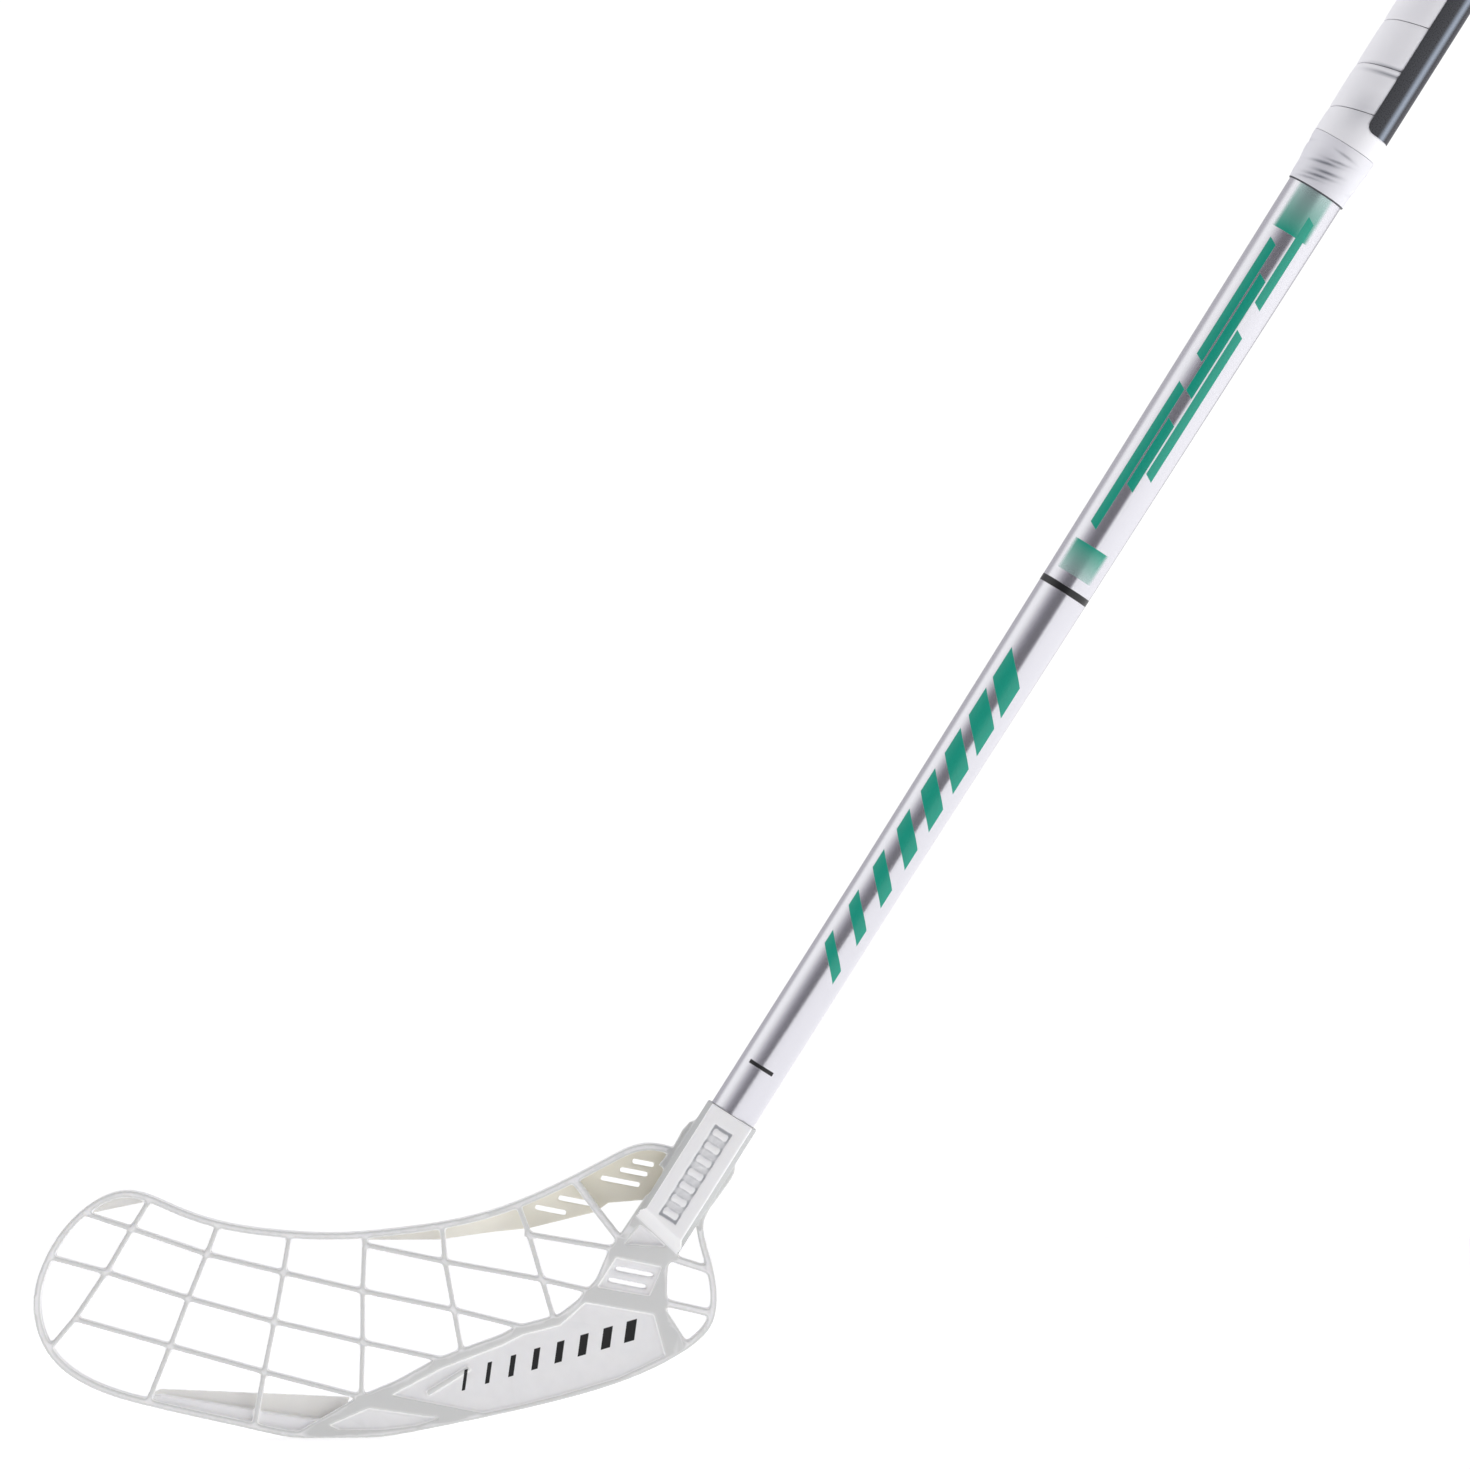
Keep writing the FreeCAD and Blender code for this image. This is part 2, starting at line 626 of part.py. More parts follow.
def slot_faces(slots):
    """Slanting slots of the drawing as flat faces."""
    faces = []
    for middle, length in slots:
        run = length / 2 * math.cos(math.radians(SLOT_FALL))
        fall = length / 2 * math.sin(math.radians(SLOT_FALL))
        ends = ((middle[0] - run, middle[1] - fall), (middle[0] + run, middle[1] + fall))
        faces.append(strip(ends, size("slot_height")))
    return faces


def neck_solid():
    """Square socket with bevelled long edges, cut off on a slope below, in the shaft's own frame."""
    width = size("neck_width")
    half = width / 2
    front = half - size("neck_bevel")
    side = half - size("neck_corner")
    low = -size("neck_foot")
    ring = (
        (-front, -half), (front, -half), (half, -side), (half, side),
        (side, half), (-side, half), (-half, side), (-half, -side),
    )
    corners = [Vector(across, back, low) for across, back in ring]
    section = Part.Face(Part.makePolygon(corners + corners[:1]))
    block = section.extrude(Vector(0, 0, size("shaft_insert") - low))

    def cut_height(across, back):
        return NECK_CUT_START + NECK_CUT_ACROSS * across + NECK_CUT_BACK * (back + half)

    corners = [
        Vector(across, back, cut_height(across, back))
        for across, back in ((-width, -width), (width, -width), (width, width), (-width, width))
    ]
    waste = Part.Face(Part.makePolygon(corners + corners[:1])).extrude(Vector(0, 0, -4 * width))
    return block.cut(waste)


def neck_cuts():
    """Bore for the glued shaft, sunk front panel and screw hole, in the shaft's own frame."""
    half = size("neck_width") / 2
    high = size("shaft_insert")
    bore = Part.makeCylinder(total(NECK_BORE), 2 * high, Vector(0, 0, -size("slip")))
    low_end = high - NECK_PANEL_ENDS[1]
    panel_length = NECK_PANEL_ENDS[1] - NECK_PANEL_ENDS[0]
    panel_width = size("neck_panel_width")
    recess = size("neck_panel_recess")
    panel = Part.makeBox(panel_width, 2 * recess, panel_length,
                         Vector(-panel_width / 2, -half - recess, low_end))
    pitch = panel_length / NECK_BARS
    bar_width = size("neck_bar_width")
    for number in range(NECK_BARS):
        bar_low = low_end + pitch * (number + 0.5) - bar_width / 2
        bar = Part.makeBox(panel_width - 2 * bar_width, 2 * recess, bar_width,
                           Vector(-panel_width / 2 + bar_width, -half, bar_low))
        panel = panel.cut(bar)
    hole = Part.makeCylinder(size("screw_diameter") / 2 + size("screw_slip"), size("neck_width"),
                             Vector(0, 0, total(SCREW_HEIGHT)), Vector(0, 1, 0))
    return [bore, panel, hole]


def wing(points, side):
    """Thin web beside the neck, in the shaft's own frame."""
    half = size("neck_width") / 2
    high = size("shaft_insert")
    corners = [Vector(side * (half + reach), 0, high - drop) for reach, drop in points]
    face = Part.Face(Part.makePolygon(corners + corners[:1]))
    face.translate(Vector(0, size("blade_offset"), 0))
    return face.extrude(Vector(0, size("wing_depth"), 0))


def rooted(pattern, share):
    """Flat pattern cut off inside the edge of the blade, at a share of the edge's width."""
    return pattern.common(Part.Face(outline(share * size("rim_width"))))


def make_blade():
    """The moulded blade with its neck."""
    rib_width = size("rib_width")
    back = size("rim_depth")
    web_front = back - size("web_thickness")
    rim = Part.makeFace([outline(0), outline(size("rim_width"))], "Part::FaceMakerBullseye")

    lattice = [strip(line, rib_width) for line in UPRIGHT_RIBS + CROSS_RIBS]
    lattice += [strip(line, STRUT_SHARE * rib_width) for line in STRUTS]
    ribs = lattice[0].multiFuse(lattice[1:]).removeSplitter()
    top_web = drawn_face(TOP_WEB).cut(slot_faces(WEB_SLOTS))
    webs = top_web.multiFuse([drawn_face(web) for web in (TOE_WEB, SOLE_WEB)]).removeSplitter()
    pieces = [
        layer(rooted(ribs, RIB_ROOT_SHARE), 0, size("rib_depth")),
        layer(rooted(drawn_face(PLATE), PLATE_ROOT_SHARE), 0, size("plate_depth")),
        layer(rooted(webs, WEB_ROOT_SHARE), web_front, back),
        layer(rooted(drawn_face(SOLE_LEDGE), LEDGE_ROOT_SHARE), size("ledge_recess"), back),
    ]
    body = layer(rim, 0, back).multiFuse(pieces)

    recess = size("panel_recess")
    sunk = layer(drawn_face(MAIN_PANEL), -back, recess)
    sunk = sunk.cut(layer(strip(TIP_RIB, rib_width), -back, recess))
    cuts = [sunk, layer(drawn_face(SOLE_PANEL), -back, recess)]
    cuts.append(layer(drawn_face(SLOT_PANEL), -back, recess))
    cuts.append(layer(drawn_face(NECK_POCKET), -back, size("pocket_recess")))
    for slot in slot_faces(PLATE_SLOTS):
        cuts.append(layer(slot, -back, 2 * back))
    body = body.cut(cuts)

    neck = [neck_solid(), wing(LEFT_WING, -1), wing(RIGHT_WING, 1)]
    holes = neck_cuts()
    for shape in neck + holes:
        shape.Placement = shaft_axis().multiply(shape.Placement)
    body = body.multiFuse(neck).cut(holes).removeSplitter()
    blade = doc.addObject("Part::Feature", "blade")
    blade.Label = "blade"
    blade.Shape = body
    return blade


parts = [
    make_blade(),
    make_blade_glue(),
    make_neck_screw(),
    make_shaft_tube(),
    turned_body("grip_end_tape", sleeve_profile(TAPE_INSIDE, TAPE_OUTSIDE, TAPER_END, TAPE_END)),
    turned_body("grip_adhesive", sleeve_profile(TAPE_INSIDE, ADHESIVE_OUTSIDE, BAND_START, BAND_END)),
    make_grip_band(),
    make_grip_label(),
    make_butt_plug(),
]
doc.recompute()

for item in doc.Objects:
    if "Invalid" in item.State or "Error" in item.State:
        raise RuntimeError(f"{item.Label} did not build")
for part in parts:
    if part.Shape.isNull() or not part.Shape.isValid():
        raise RuntimeError(f"{part.Label} has no valid shape")

os.makedirs("parts", exist_ok=True)
for part in parts:
    part.Shape.exportStep(f"parts/{part.Label}.step")
    box = part.Shape.BoundBox
    limits = (box.XMin, box.XMax, box.YMin, box.YMax, box.ZMin, box.ZMax)
    print(part.Label, "solids", len(part.Shape.Solids), "volume", round(part.Shape.Volume, 1),
          "box", [round(value, 1) for value in limits])
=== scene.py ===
"""Looks of a floorball stick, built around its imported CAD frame. Lengths in the stick's classes are in
millimetres, and meshes and the studio are in metres, all in the frame of the CAD."""
import enum
import logging
import math
from collections.abc import Callable, Iterable
from dataclasses import dataclass
from typing import Any

import bmesh
import bpy
import numpy as np
from bpy.types import ID, Material, Mesh, Node, NodeSocket, NodeTree, Object
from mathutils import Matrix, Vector


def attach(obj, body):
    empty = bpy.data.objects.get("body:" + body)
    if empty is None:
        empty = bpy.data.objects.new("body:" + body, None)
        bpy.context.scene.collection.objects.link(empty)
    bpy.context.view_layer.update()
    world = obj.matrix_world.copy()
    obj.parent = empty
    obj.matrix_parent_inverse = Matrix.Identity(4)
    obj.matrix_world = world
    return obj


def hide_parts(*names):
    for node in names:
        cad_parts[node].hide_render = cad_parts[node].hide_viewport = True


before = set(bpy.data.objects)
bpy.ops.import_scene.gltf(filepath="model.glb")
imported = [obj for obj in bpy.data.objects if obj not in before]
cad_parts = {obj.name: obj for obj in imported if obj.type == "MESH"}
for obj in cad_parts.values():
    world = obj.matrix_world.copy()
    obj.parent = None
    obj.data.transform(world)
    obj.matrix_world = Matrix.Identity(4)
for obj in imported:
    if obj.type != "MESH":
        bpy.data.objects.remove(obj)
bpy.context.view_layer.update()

Colour = tuple[float, float, float, float]

LOG = logging.getLogger("floorball_stick")
MM = 0.001
BODY = "root"
PRINT_MAP = "print"
WHITE: Colour = (1.0, 1.0, 1.0, 1.0)
# Points closer than this are one point.
MERGE = 0.001
# Soft edge of printed ink.
PRINT_EDGE = 0.25
# Nearly all values of a noise texture lie between these.
NOISE_SPAN = (0.3, 0.7)
# Largest share of a side that a rounded corner takes.
MOST_ROUNDED = 0.45
# Shortest length that is divided by.
TINY = 1e-12


def linear(hex_colour: str) -> Colour:
    """Turn an sRGB hex colour into a linear colour, by the curve of the sRGB standard.

    Args:
        hex_colour: Six hex digits after a hash sign.

    Returns:
        Linear red, green and blue with an alpha of one.
    """
    parts = [int(hex_colour[start:start + 2], 16) / 255 for start in (1, 3, 5)]
    red, green, blue = (p / 12.92 if p <= 0.04045 else ((p + 0.055) / 1.055) ** 2.4 for p in parts)
    return red, green, blue, 1.0


def add_node(tree: NodeTree, kind: str, settings: dict[str, Any] | None = None,
             links: dict[Any, Any] | None = None) -> Node:
    """Add a shader node.

    Args:
        tree: Node tree that gets the node.
        kind: Node type without its ShaderNode prefix.
        settings: Properties of the node.
        links: For each input, a value or the output that feeds it.

    Returns:
        The node.
    """
    node = tree.nodes.new("ShaderNode" + kind)
    for name, value in (settings or {}).items():
        setattr(node, name, value)
    for name, value in (links or {}).items():
        if isinstance(value, NodeSocket):
            tree.links.new(value, node.inputs[name])
        else:
            node.inputs[name].default_value = value
    return node


def soft_band(tree: NodeTree, value: NodeSocket, centre: float, half: float, soft: float) -> NodeSocket:
    """Mask that is one where a value lies within half of a centre and falls to zero over soft.

    Args:
        tree: Node tree that gets the nodes.
        value: Output to test.
        centre: Middle of the band.
        half: Half its width.
        soft: Width of its edge.

    Returns:
        Output of the mask.
    """
    offset = add_node(tree, "Math", {"operation": "SUBTRACT"}, {0: value, 1: centre}).outputs[0]
    distance = add_node(tree, "Math", {"operation": "ABSOLUTE"}, {0: offset}).outputs[0]
    return add_node(tree, "MapRange", {"interpolation_type": "SMOOTHSTEP"}, {
        "Value": distance, "From Min": half - soft / 2, "From Max": half + soft / 2,
        "To Min": 1.0, "To Max": 0.0}).outputs[0]


def turned_place(tree: NodeTree, place: NodeSocket, turn: float = 0.0) -> tuple[NodeSocket, ...]:
    """Turn a place round +Y and measure it in millimetres.

    Args:
        tree: Node tree that gets the nodes.
        place: Output of the Object coordinates.
        turn: Degrees of the turn.

    Returns:
        Outputs of x, y and z.
    """
    turned = add_node(tree, "Mapping", None, {
        "Vector": place, "Rotation": (0.0, math.radians(turn), 0.0), "Scale": (1 / MM, 1 / MM, 1 / MM)})
    return tuple(add_node(tree, "SeparateXYZ", None, {0: turned.outputs[0]}).outputs)


class Meet(enum.Enum):
    """How several masks make one: where all of them are high, or where any of them is."""

    ALL = "MULTIPLY"
    ANY = "MAXIMUM"


def combined(tree: NodeTree, meet: Meet, masks: Iterable[NodeSocket]) -> NodeSocket:
    """Make one mask from several.

    Args:
        tree: Node tree that gets the nodes.
        meet: How the masks are put together.
        masks: Outputs of the masks.

    Returns:
        Output of the mask.
    """
    result, *others = masks
    for mask in others:
        result = add_node(tree, "Math", {"operation": meet.value}, {0: result, 1: mask}).outputs[0]
    return result


def painted(tree: NodeTree, colour: NodeSocket | Colour,
            layers: Iterable[tuple[NodeSocket, str]]) -> NodeSocket:
    """Lay colours over one another, each by the share of its mask.

    Args:
        tree: Node tree that gets the nodes.
        colour: Lowest colour.
        layers: Mask and sRGB hex colour of each layer, from below.

    Returns:
        Output of the colour.
    """
    for mask, over in layers:
        colour = add_node(tree, "Mix", {"data_type": "RGBA"}, {
            "Factor": mask, 6: colour, 7: linear(over)}).outputs[2]
    return colour


class Measure(enum.Enum):
    """What is known at each point of a skin: lengths in millimetres, and how far it faces the front,
    from minus one to one."""

    RISE = "rise"
    BREADTH = "breadth"
    DEPTH = "depth"
    FACING = "facing"
    X = "x"
    Z = "z"


class Wrap(enum.Flag):
    """Directions in which a grid closes on itself."""

    NONE = 0
    ROWS = enum.auto()
    COLUMNS = enum.auto()


@dataclass(frozen=True)
class ShaftLine:
    """The shaft's axis: its lower end and its lean from the vertical towards +X."""

    foot: tuple[float, float, float] = (151.0, 0.0, 96.5)
    lean: float = 32.3
    insert: float = 51.5

    def place(self, across: np.ndarray, back: np.ndarray, height: np.ndarray) -> np.ndarray:
        """Turn coordinates on the shaft into points of the frame.

        A point is the mouth of the neck plus across times the axis' right-hand normal, plus back
        times +Y, plus height times the axis.

        Args:
            across: Distances to the right of the axis.
            back: Distances behind the axis.
            height: Distances above the mouth of the neck.

        Returns:
            Points in metres, with a last axis of three.
        """
        lean = math.radians(self.lean)
        up = height + self.insert
        x = self.foot[0] + across * math.cos(lean) + up * math.sin(lean)
        y = self.foot[1] + back
        z = self.foot[2] - across * math.sin(lean) + up * math.cos(lean)
        return np.stack(np.broadcast_arrays(x, y, z), axis=-1) * MM

    def mouth_rise(self) -> float:
        """Distance of the mouth of the neck from the origin, measured along the shaft."""
        lean = math.radians(self.lean)
        return self.foot[0] * math.sin(lean) + self.foot[2] * math.cos(lean) + self.insert

    def ring(self, radius: np.ndarray, angle: np.ndarray, height: np.ndarray) -> np.ndarray:
        """Points round the axis: radius times sine to the right and minus cosine to the back."""
        return self.place(radius * np.sin(angle), -radius * np.cos(angle), height)


SHAFT = ShaftLine()
# Height of the grip's lower end above the mouth of the neck.
GRIP_START = 474.0


def grid_quads(rows: int, columns: int, wrap: Wrap) -> np.ndarray:
    """Corner numbers of the quads of a grid of points.

    Args:
        rows: Number of rows.
        columns: Number of columns.
        wrap: Directions in which the last line joins the first.

    Returns:
        Array of quads by four corners.
    """
    row = np.arange(rows if Wrap.ROWS in wrap else rows - 1)
    column = np.arange(columns if Wrap.COLUMNS in wrap else columns - 1)
    i, j = np.meshgrid(row, column, indexing="ij")
    after_i = (i + 1) % rows
    after_j = (j + 1) % columns
    corners = (i * columns + j, i * columns + after_j, after_i * columns + after_j, after_i * columns + j)
    return np.stack(corners, axis=-1).reshape(-1, 4)


def grid_map(u: np.ndarray, v: np.ndarray) -> np.ndarray:
    """UV corners of the quads of a grid from the values on its lines, one more than its quads.

    Args:
        u: Values along the columns.
        v: Values along the rows.

    Returns:
        Array of quads by four corners by two.
    """
    row, column = np.meshgrid(np.arange(len(v) - 1), np.arange(len(u) - 1), indexing="ij")
    us = np.stack((u[column], u[column + 1], u[column + 1], u[column]), axis=-1)
    vs = np.stack((v[row], v[row], v[row + 1], v[row + 1]), axis=-1)
    return np.stack((us, vs), axis=-1).reshape(-1, 4, 2)


def note(mesh: Mesh, measure: Measure, values: np.ndarray) -> None:
    """Keep a measure of each point of a mesh.

    Args:
        mesh: The mesh.
        measure: What the numbers measure.
        values: One number for each point.
    """
    layer = mesh.attributes.new(measure.value, "FLOAT", "POINT")
    layer.data.foreach_set("value", values.astype(np.float32).ravel())


def join_doubles(work: bmesh.types.BMesh) -> None:
    """Join points that are so close that they count as one."""
    bmesh.ops.remove_doubles(work, verts=work.verts, dist=MERGE * MM)


def close_rings(work: bmesh.types.BMesh) -> None:
    """Close each open ring of edges with one face."""
    bmesh.ops.holes_fill(work, edges=[edge for edge in work.edges if edge.is_boundary], sides=0)


def face_outwards(work: bmesh.types.BMesh) -> None:
    """Turn all faces the same way round, outwards where the shell is closed."""
    bmesh.ops.recalc_face_normals(work, faces=work.faces)


def edit(mesh: Mesh, *steps: Callable[[bmesh.types.BMesh], None]) -> None:
    """Carry out steps on a mesh in order.

    Args:
        mesh: The mesh, changed in place.
        steps: Functions that change its editable form.
    """
    work = bmesh.new()
    work.from_mesh(mesh)
    for step in steps:
        step(work)
    work.to_mesh(mesh)
    work.free()


def put_in_scene(name: str, data: ID) -> Object:
    """Put a mesh, lamp or camera into the scene.

    Args:
        name: Name of its object.
        data: The mesh, lamp or camera.

    Returns:
        The object, at the origin.
    """
    holder = bpy.data.objects.new(name, data)
    bpy.context.scene.collection.objects.link(holder)
    return holder


def new_piece(name: str, points: np.ndarray, quads: np.ndarray, uv: np.ndarray | None = None,
              depth: np.ndarray | None = None, sharp: float = 40.0) -> Object:
    """Make a mesh object from points and quads, shaded smooth but for sharp edges.

    Args:
        name: Name of the piece.
        points: Points in metres, with a last axis of three.
        quads: Corner numbers.
        uv: UV corners of the quads.
        depth: Depth to note for each point, in millimetres.
        sharp: Edges sharper than this many degrees stay sharp.

    Returns:
        The object, at the origin.
    """
    mesh = bpy.data.meshes.new(name)
    mesh.from_pydata(points.reshape(-1, 3), [], quads)
    if uv is not None:
        mesh.uv_layers.new(name=PRINT_MAP).data.foreach_set("uv", uv.astype(np.float32).ravel())
    if depth is not None:
        note(mesh, Measure.DEPTH, depth)
    edit(mesh, join_doubles, face_outwards)
    mesh.shade_smooth()
    mesh.set_sharp_from_angle(angle=math.radians(sharp))
    return put_in_scene(name, mesh)


def turned_piece(name: str, profile: np.ndarray, wrap: Wrap, segments: int = 128) -> Object:
    """Revolve a profile of radius and height round the shaft's axis.

    The point at profile place i and angle j is radius i at angle j and height i. The UV map holds
    the arc length in front of the axis and the height, both in millimetres.

    Args:
        name: Name of the piece.
        profile: Points (radius, height): a loop without its first point repeated, or a line that
            starts and ends on the axis.
        wrap: Rows and columns for a loop, columns alone for a line.
        segments: Steps round the axis.

    Returns:
        The object.
    """
    edges = np.linspace(-math.pi, math.pi, segments + 1)
    points = SHAFT.ring(profile[:, :1], edges[None, :-1], profile[:, 1:])
    quads = grid_quads(len(profile), segments, wrap)
    lines = np.vstack((profile, profile[:1])) if Wrap.ROWS in wrap else profile
    uv = grid_map(edges, lines[:, 1])
    radius = np.stack((lines[:-1, 0], lines[:-1, 0], lines[1:, 0], lines[1:, 0]), axis=-1)
    uv[..., 0] *= np.repeat(radius, segments, axis=0)
    return new_piece(name, points, quads, uv)


def rounded(profile: list[tuple[float, float]], radius: float, steps: int = 4) -> np.ndarray:
    """Round the corners of a closed profile with quadratic curves that start radius from each.

    Args:
        profile: Corners of the loop.
        radius: Length cut from each side, at most the largest share of it.
        steps: Steps of each curve.

    Returns:
        Points of the loop.
    """
    corner = np.array(profile, float)
    t = np.linspace(0, 1, steps + 1)[None, :, None]

    def cut(other: np.ndarray) -> np.ndarray:
        """Find the point on the way from each corner to another where its curve starts.

        Args:
            other: The other corners.

        Returns:
            Points of the curves' starts.
        """
        side = other - corner
        length = np.linalg.norm(side, axis=1, keepdims=True)
        return corner + side * np.minimum(radius, MOST_ROUNDED * length) / length

    first = cut(np.roll(corner, 1, axis=0))[:, None]
    last = cut(np.roll(corner, -1, axis=0))[:, None]
    middle = corner[:, None]
    return ((1 - t) ** 2 * first + 2 * t * (1 - t) * middle + t ** 2 * last).reshape(-1, 2)


def new_material(name: str, shader: dict[str, Any]) -> tuple[Material, Node]:
    """Start a node material.

    Args:
        name: Name of the material.
        shader: Constant inputs of its Principled shader.

    Returns:
        The material and its shader node.
    """
    material = bpy.data.materials.new(name)
    material.use_nodes = True
    tree = material.node_tree
    tree.nodes.clear()
    node = add_node(tree, "BsdfPrincipled", None, shader)
    add_node(tree, "OutputMaterial", None, {"Surface": node.outputs[0]})
    return material, node


@dataclass(frozen=True)
class Grained:
    """A plain finish: two close tints in soft clouds and a fine grain in bump and gloss."""

    name: str
    light: str
    dark: str
    roughness: float
    spread: float = 0.08
    least_roughness: float = 0.02
    cloud: float = 30.0
    cloud_detail: float = 3.0
    grain: float = 0.6
    grain_detail: float = 2.0
    bump: float = 0.04
    bump_strength: float = 0.5
    metallic: float = 0.0
    subsurface: float = 0.0
    subsurface_reach: tuple[float, float, float] = (3.0, 2.6, 2.0)
    glow: float = 0.0

    def tint(self, tree: NodeTree, place: NodeSocket) -> NodeSocket:
        """Mix the two tints in clouds.

        Args:
            tree: Node tree that gets the nodes.
            place: Output of the Object coordinates.

        Returns:
            Output of the colour.
        """
        cloud = add_node(tree, "TexNoise", None, {
            "Vector": place, "Scale": 1 / (self.cloud * MM), "Detail": self.cloud_detail})
        return painted(tree, linear(self.light), [(cloud.outputs["Fac"], self.dark)])

    def material(self) -> Material:
        """Make the material from Object coordinates, with cloud, grain and bump sizes in millimetres.

        Returns:
            The material.
        """
        material, surface = new_material(self.name, {
            "Metallic": self.metallic, "Subsurface Weight": self.subsurface,
            "Subsurface Radius": self.subsurface_reach, "Subsurface Scale": MM,
            "Emission Color": WHITE, "Emission Strength": self.glow})
        tree = material.node_tree
        place = add_node(tree, "TexCoord").outputs["Object"]
        grain = add_node(tree, "TexNoise", None, {
            "Vector": place, "Scale": 1 / (self.grain * MM), "Detail": self.grain_detail})
        gloss = add_node(tree, "MapRange", None, {
            "Value": grain.outputs["Fac"], "From Min": NOISE_SPAN[0], "From Max": NOISE_SPAN[1],
            "To Min": max(self.roughness - self.spread, self.least_roughness),
            "To Max": self.roughness + self.spread})
        relief = add_node(tree, "Bump", None, {
            "Strength": self.bump_strength, "Distance": self.bump * MM, "Height": grain.outputs["Fac"]})
        tree.links.new(self.tint(tree, place), surface.inputs["Base Color"])
        tree.links.new(gloss.outputs[0], surface.inputs["Roughness"])
        tree.links.new(relief.outputs[0], surface.inputs["Normal"])
        return material


@dataclass(frozen=True)
class Bar:
    """A printed bar: middle and width across the print, start and end along it, and its slant."""

    across: float
    width: float
    start: float
    end: float
    slant: float = 0.0

    def slanted(self, tree: NodeTree, across: NodeSocket, along: NodeSocket) -> NodeSocket:
        """Place along the print plus the slant times the place across it."""
        return add_node(tree, "Math", {"operation": "MULTIPLY_ADD"}, {
            0: across, 1: self.slant, 2: along}).outputs[0]

    def mask(self, tree: NodeTree, across: NodeSocket, along: NodeSocket) -> NodeSocket:
        """Mask of the bar: near its middle across the print and, once slanted, between its ends.

        Args:
            tree: Node tree that gets the nodes.
            across: Output of the place across the print.
            along: Output of the place along it.

        Returns:
            Output of the mask.
        """
        near = soft_band(tree, across, self.across, self.width / 2, PRINT_EDGE)
        middle = (self.start + self.end) / 2 + self.slant * self.across
        lean = self.slanted(tree, across, along)
        between = soft_band(tree, lean, middle, (self.end - self.start) / 2, PRINT_EDGE)
        return combined(tree, Meet.ALL, (near, between))


@dataclass(frozen=True)
class Stripes:
    """Printed stripes at an even pitch in a field, from thin to thick as shares of the pitch."""

    field: Bar
    pitch: float
    thin: float
    thick: float

    def mask(self, tree: NodeTree, across: NodeSocket, along: NodeSocket) -> NodeSocket:
        """Mask of the stripes, which slant as their field does.

        Args:
            tree: Node tree that gets the nodes.
            across: Output of the place across the print.
            along: Output of the place along it.

        Returns:
            Output of the mask.
        """
        lean = self.field.slanted(tree, across, along)
        turns = add_node(tree, "Math", {"operation": "DIVIDE"}, {0: lean, 1: self.pitch}).outputs[0]
        place = add_node(tree, "Math", {"operation": "FRACT"}, {0: turns}).outputs[0]
        level = add_node(tree, "Math", {"operation": "FLOOR"}, {0: turns}).outputs[0]
        share = add_node(tree, "MapRange", None, {
            "Value": level, "From Min": self.field.start / self.pitch,
            "From Max": self.field.end / self.pitch, "To Min": self.thin, "To Max": self.thick}).outputs[0]
        excess = add_node(tree, "Math", {"operation": "SUBTRACT"}, {0: place, 1: share}).outputs[0]
        stripe = add_node(tree, "MapRange", {"interpolation_type": "SMOOTHSTEP"}, {
            "Value": excess, "From Min": -PRINT_EDGE / self.pitch, "From Max": 0.0,
            "To Min": 1.0, "To Max": 0.0}).outputs[0]
        return combined(tree, Meet.ALL, (stripe, self.field.mask(tree, across, along)))


@dataclass(frozen=True)
class Wash:
    """A sprayed patch that grows from a faint end to a full one along the print and stops there."""

    faint: float
    full: float
    least: float = 0.4
    half: float = 8.5
    soft: float = 3.0

    def mask(self, tree: NodeTree, across: NodeSocket, along: NodeSocket) -> NodeSocket:
        """Mask of the patch, soft at its sides.

        Args:
            tree: Node tree that gets the nodes.
            across: Output of the place across the print.
            along: Output of the place along it.

        Returns:
            Output of the mask.
        """
        ramp = add_node(tree, "MapRange", None, {
            "Value": along, "From Min": self.faint, "From Max": self.full,
            "To Min": self.least}).outputs[0]
        middle = (self.faint + self.full) / 2
        within = soft_band(tree, along, middle, abs(self.full - self.faint) / 2, PRINT_EDGE)
        sides = soft_band(tree, across, 0.0, self.half, self.soft)
        return combined(tree, Meet.ALL, (ramp, within, sides))


@dataclass(frozen=True)
class Ramp:
    """Share that goes from none to all while a measure of the skin goes from start to end."""

    measure: Measure
    start: float
    end: float

    def mask(self, tree: NodeTree, known: dict[Measure, NodeSocket]) -> NodeSocket:
        """Mask of the ramp, from the output of each measure."""
        return add_node(tree, "MapRange", None, {
            "Value": known[self.measure], "From Min": self.start, "From Max": self.end}).outputs[0]


@dataclass(frozen=True)
class Tone:
    """A colour that shows where all of its ramps are high."""

    colour: str
    ramps: tuple[Ramp, ...]


ON_FACE = (Ramp(Measure.DEPTH, -0.8, -0.4), Ramp(Measure.DEPTH, 0.8, 0.4))
ON_NECK = Ramp(Measure.DEPTH, -1.5, -2.5)
FRONTAL = Ramp(Measure.FACING, 0.2, 0.6)
AT_BACK = (Ramp(Measure.DEPTH, 7.5, 9.5), FRONTAL)

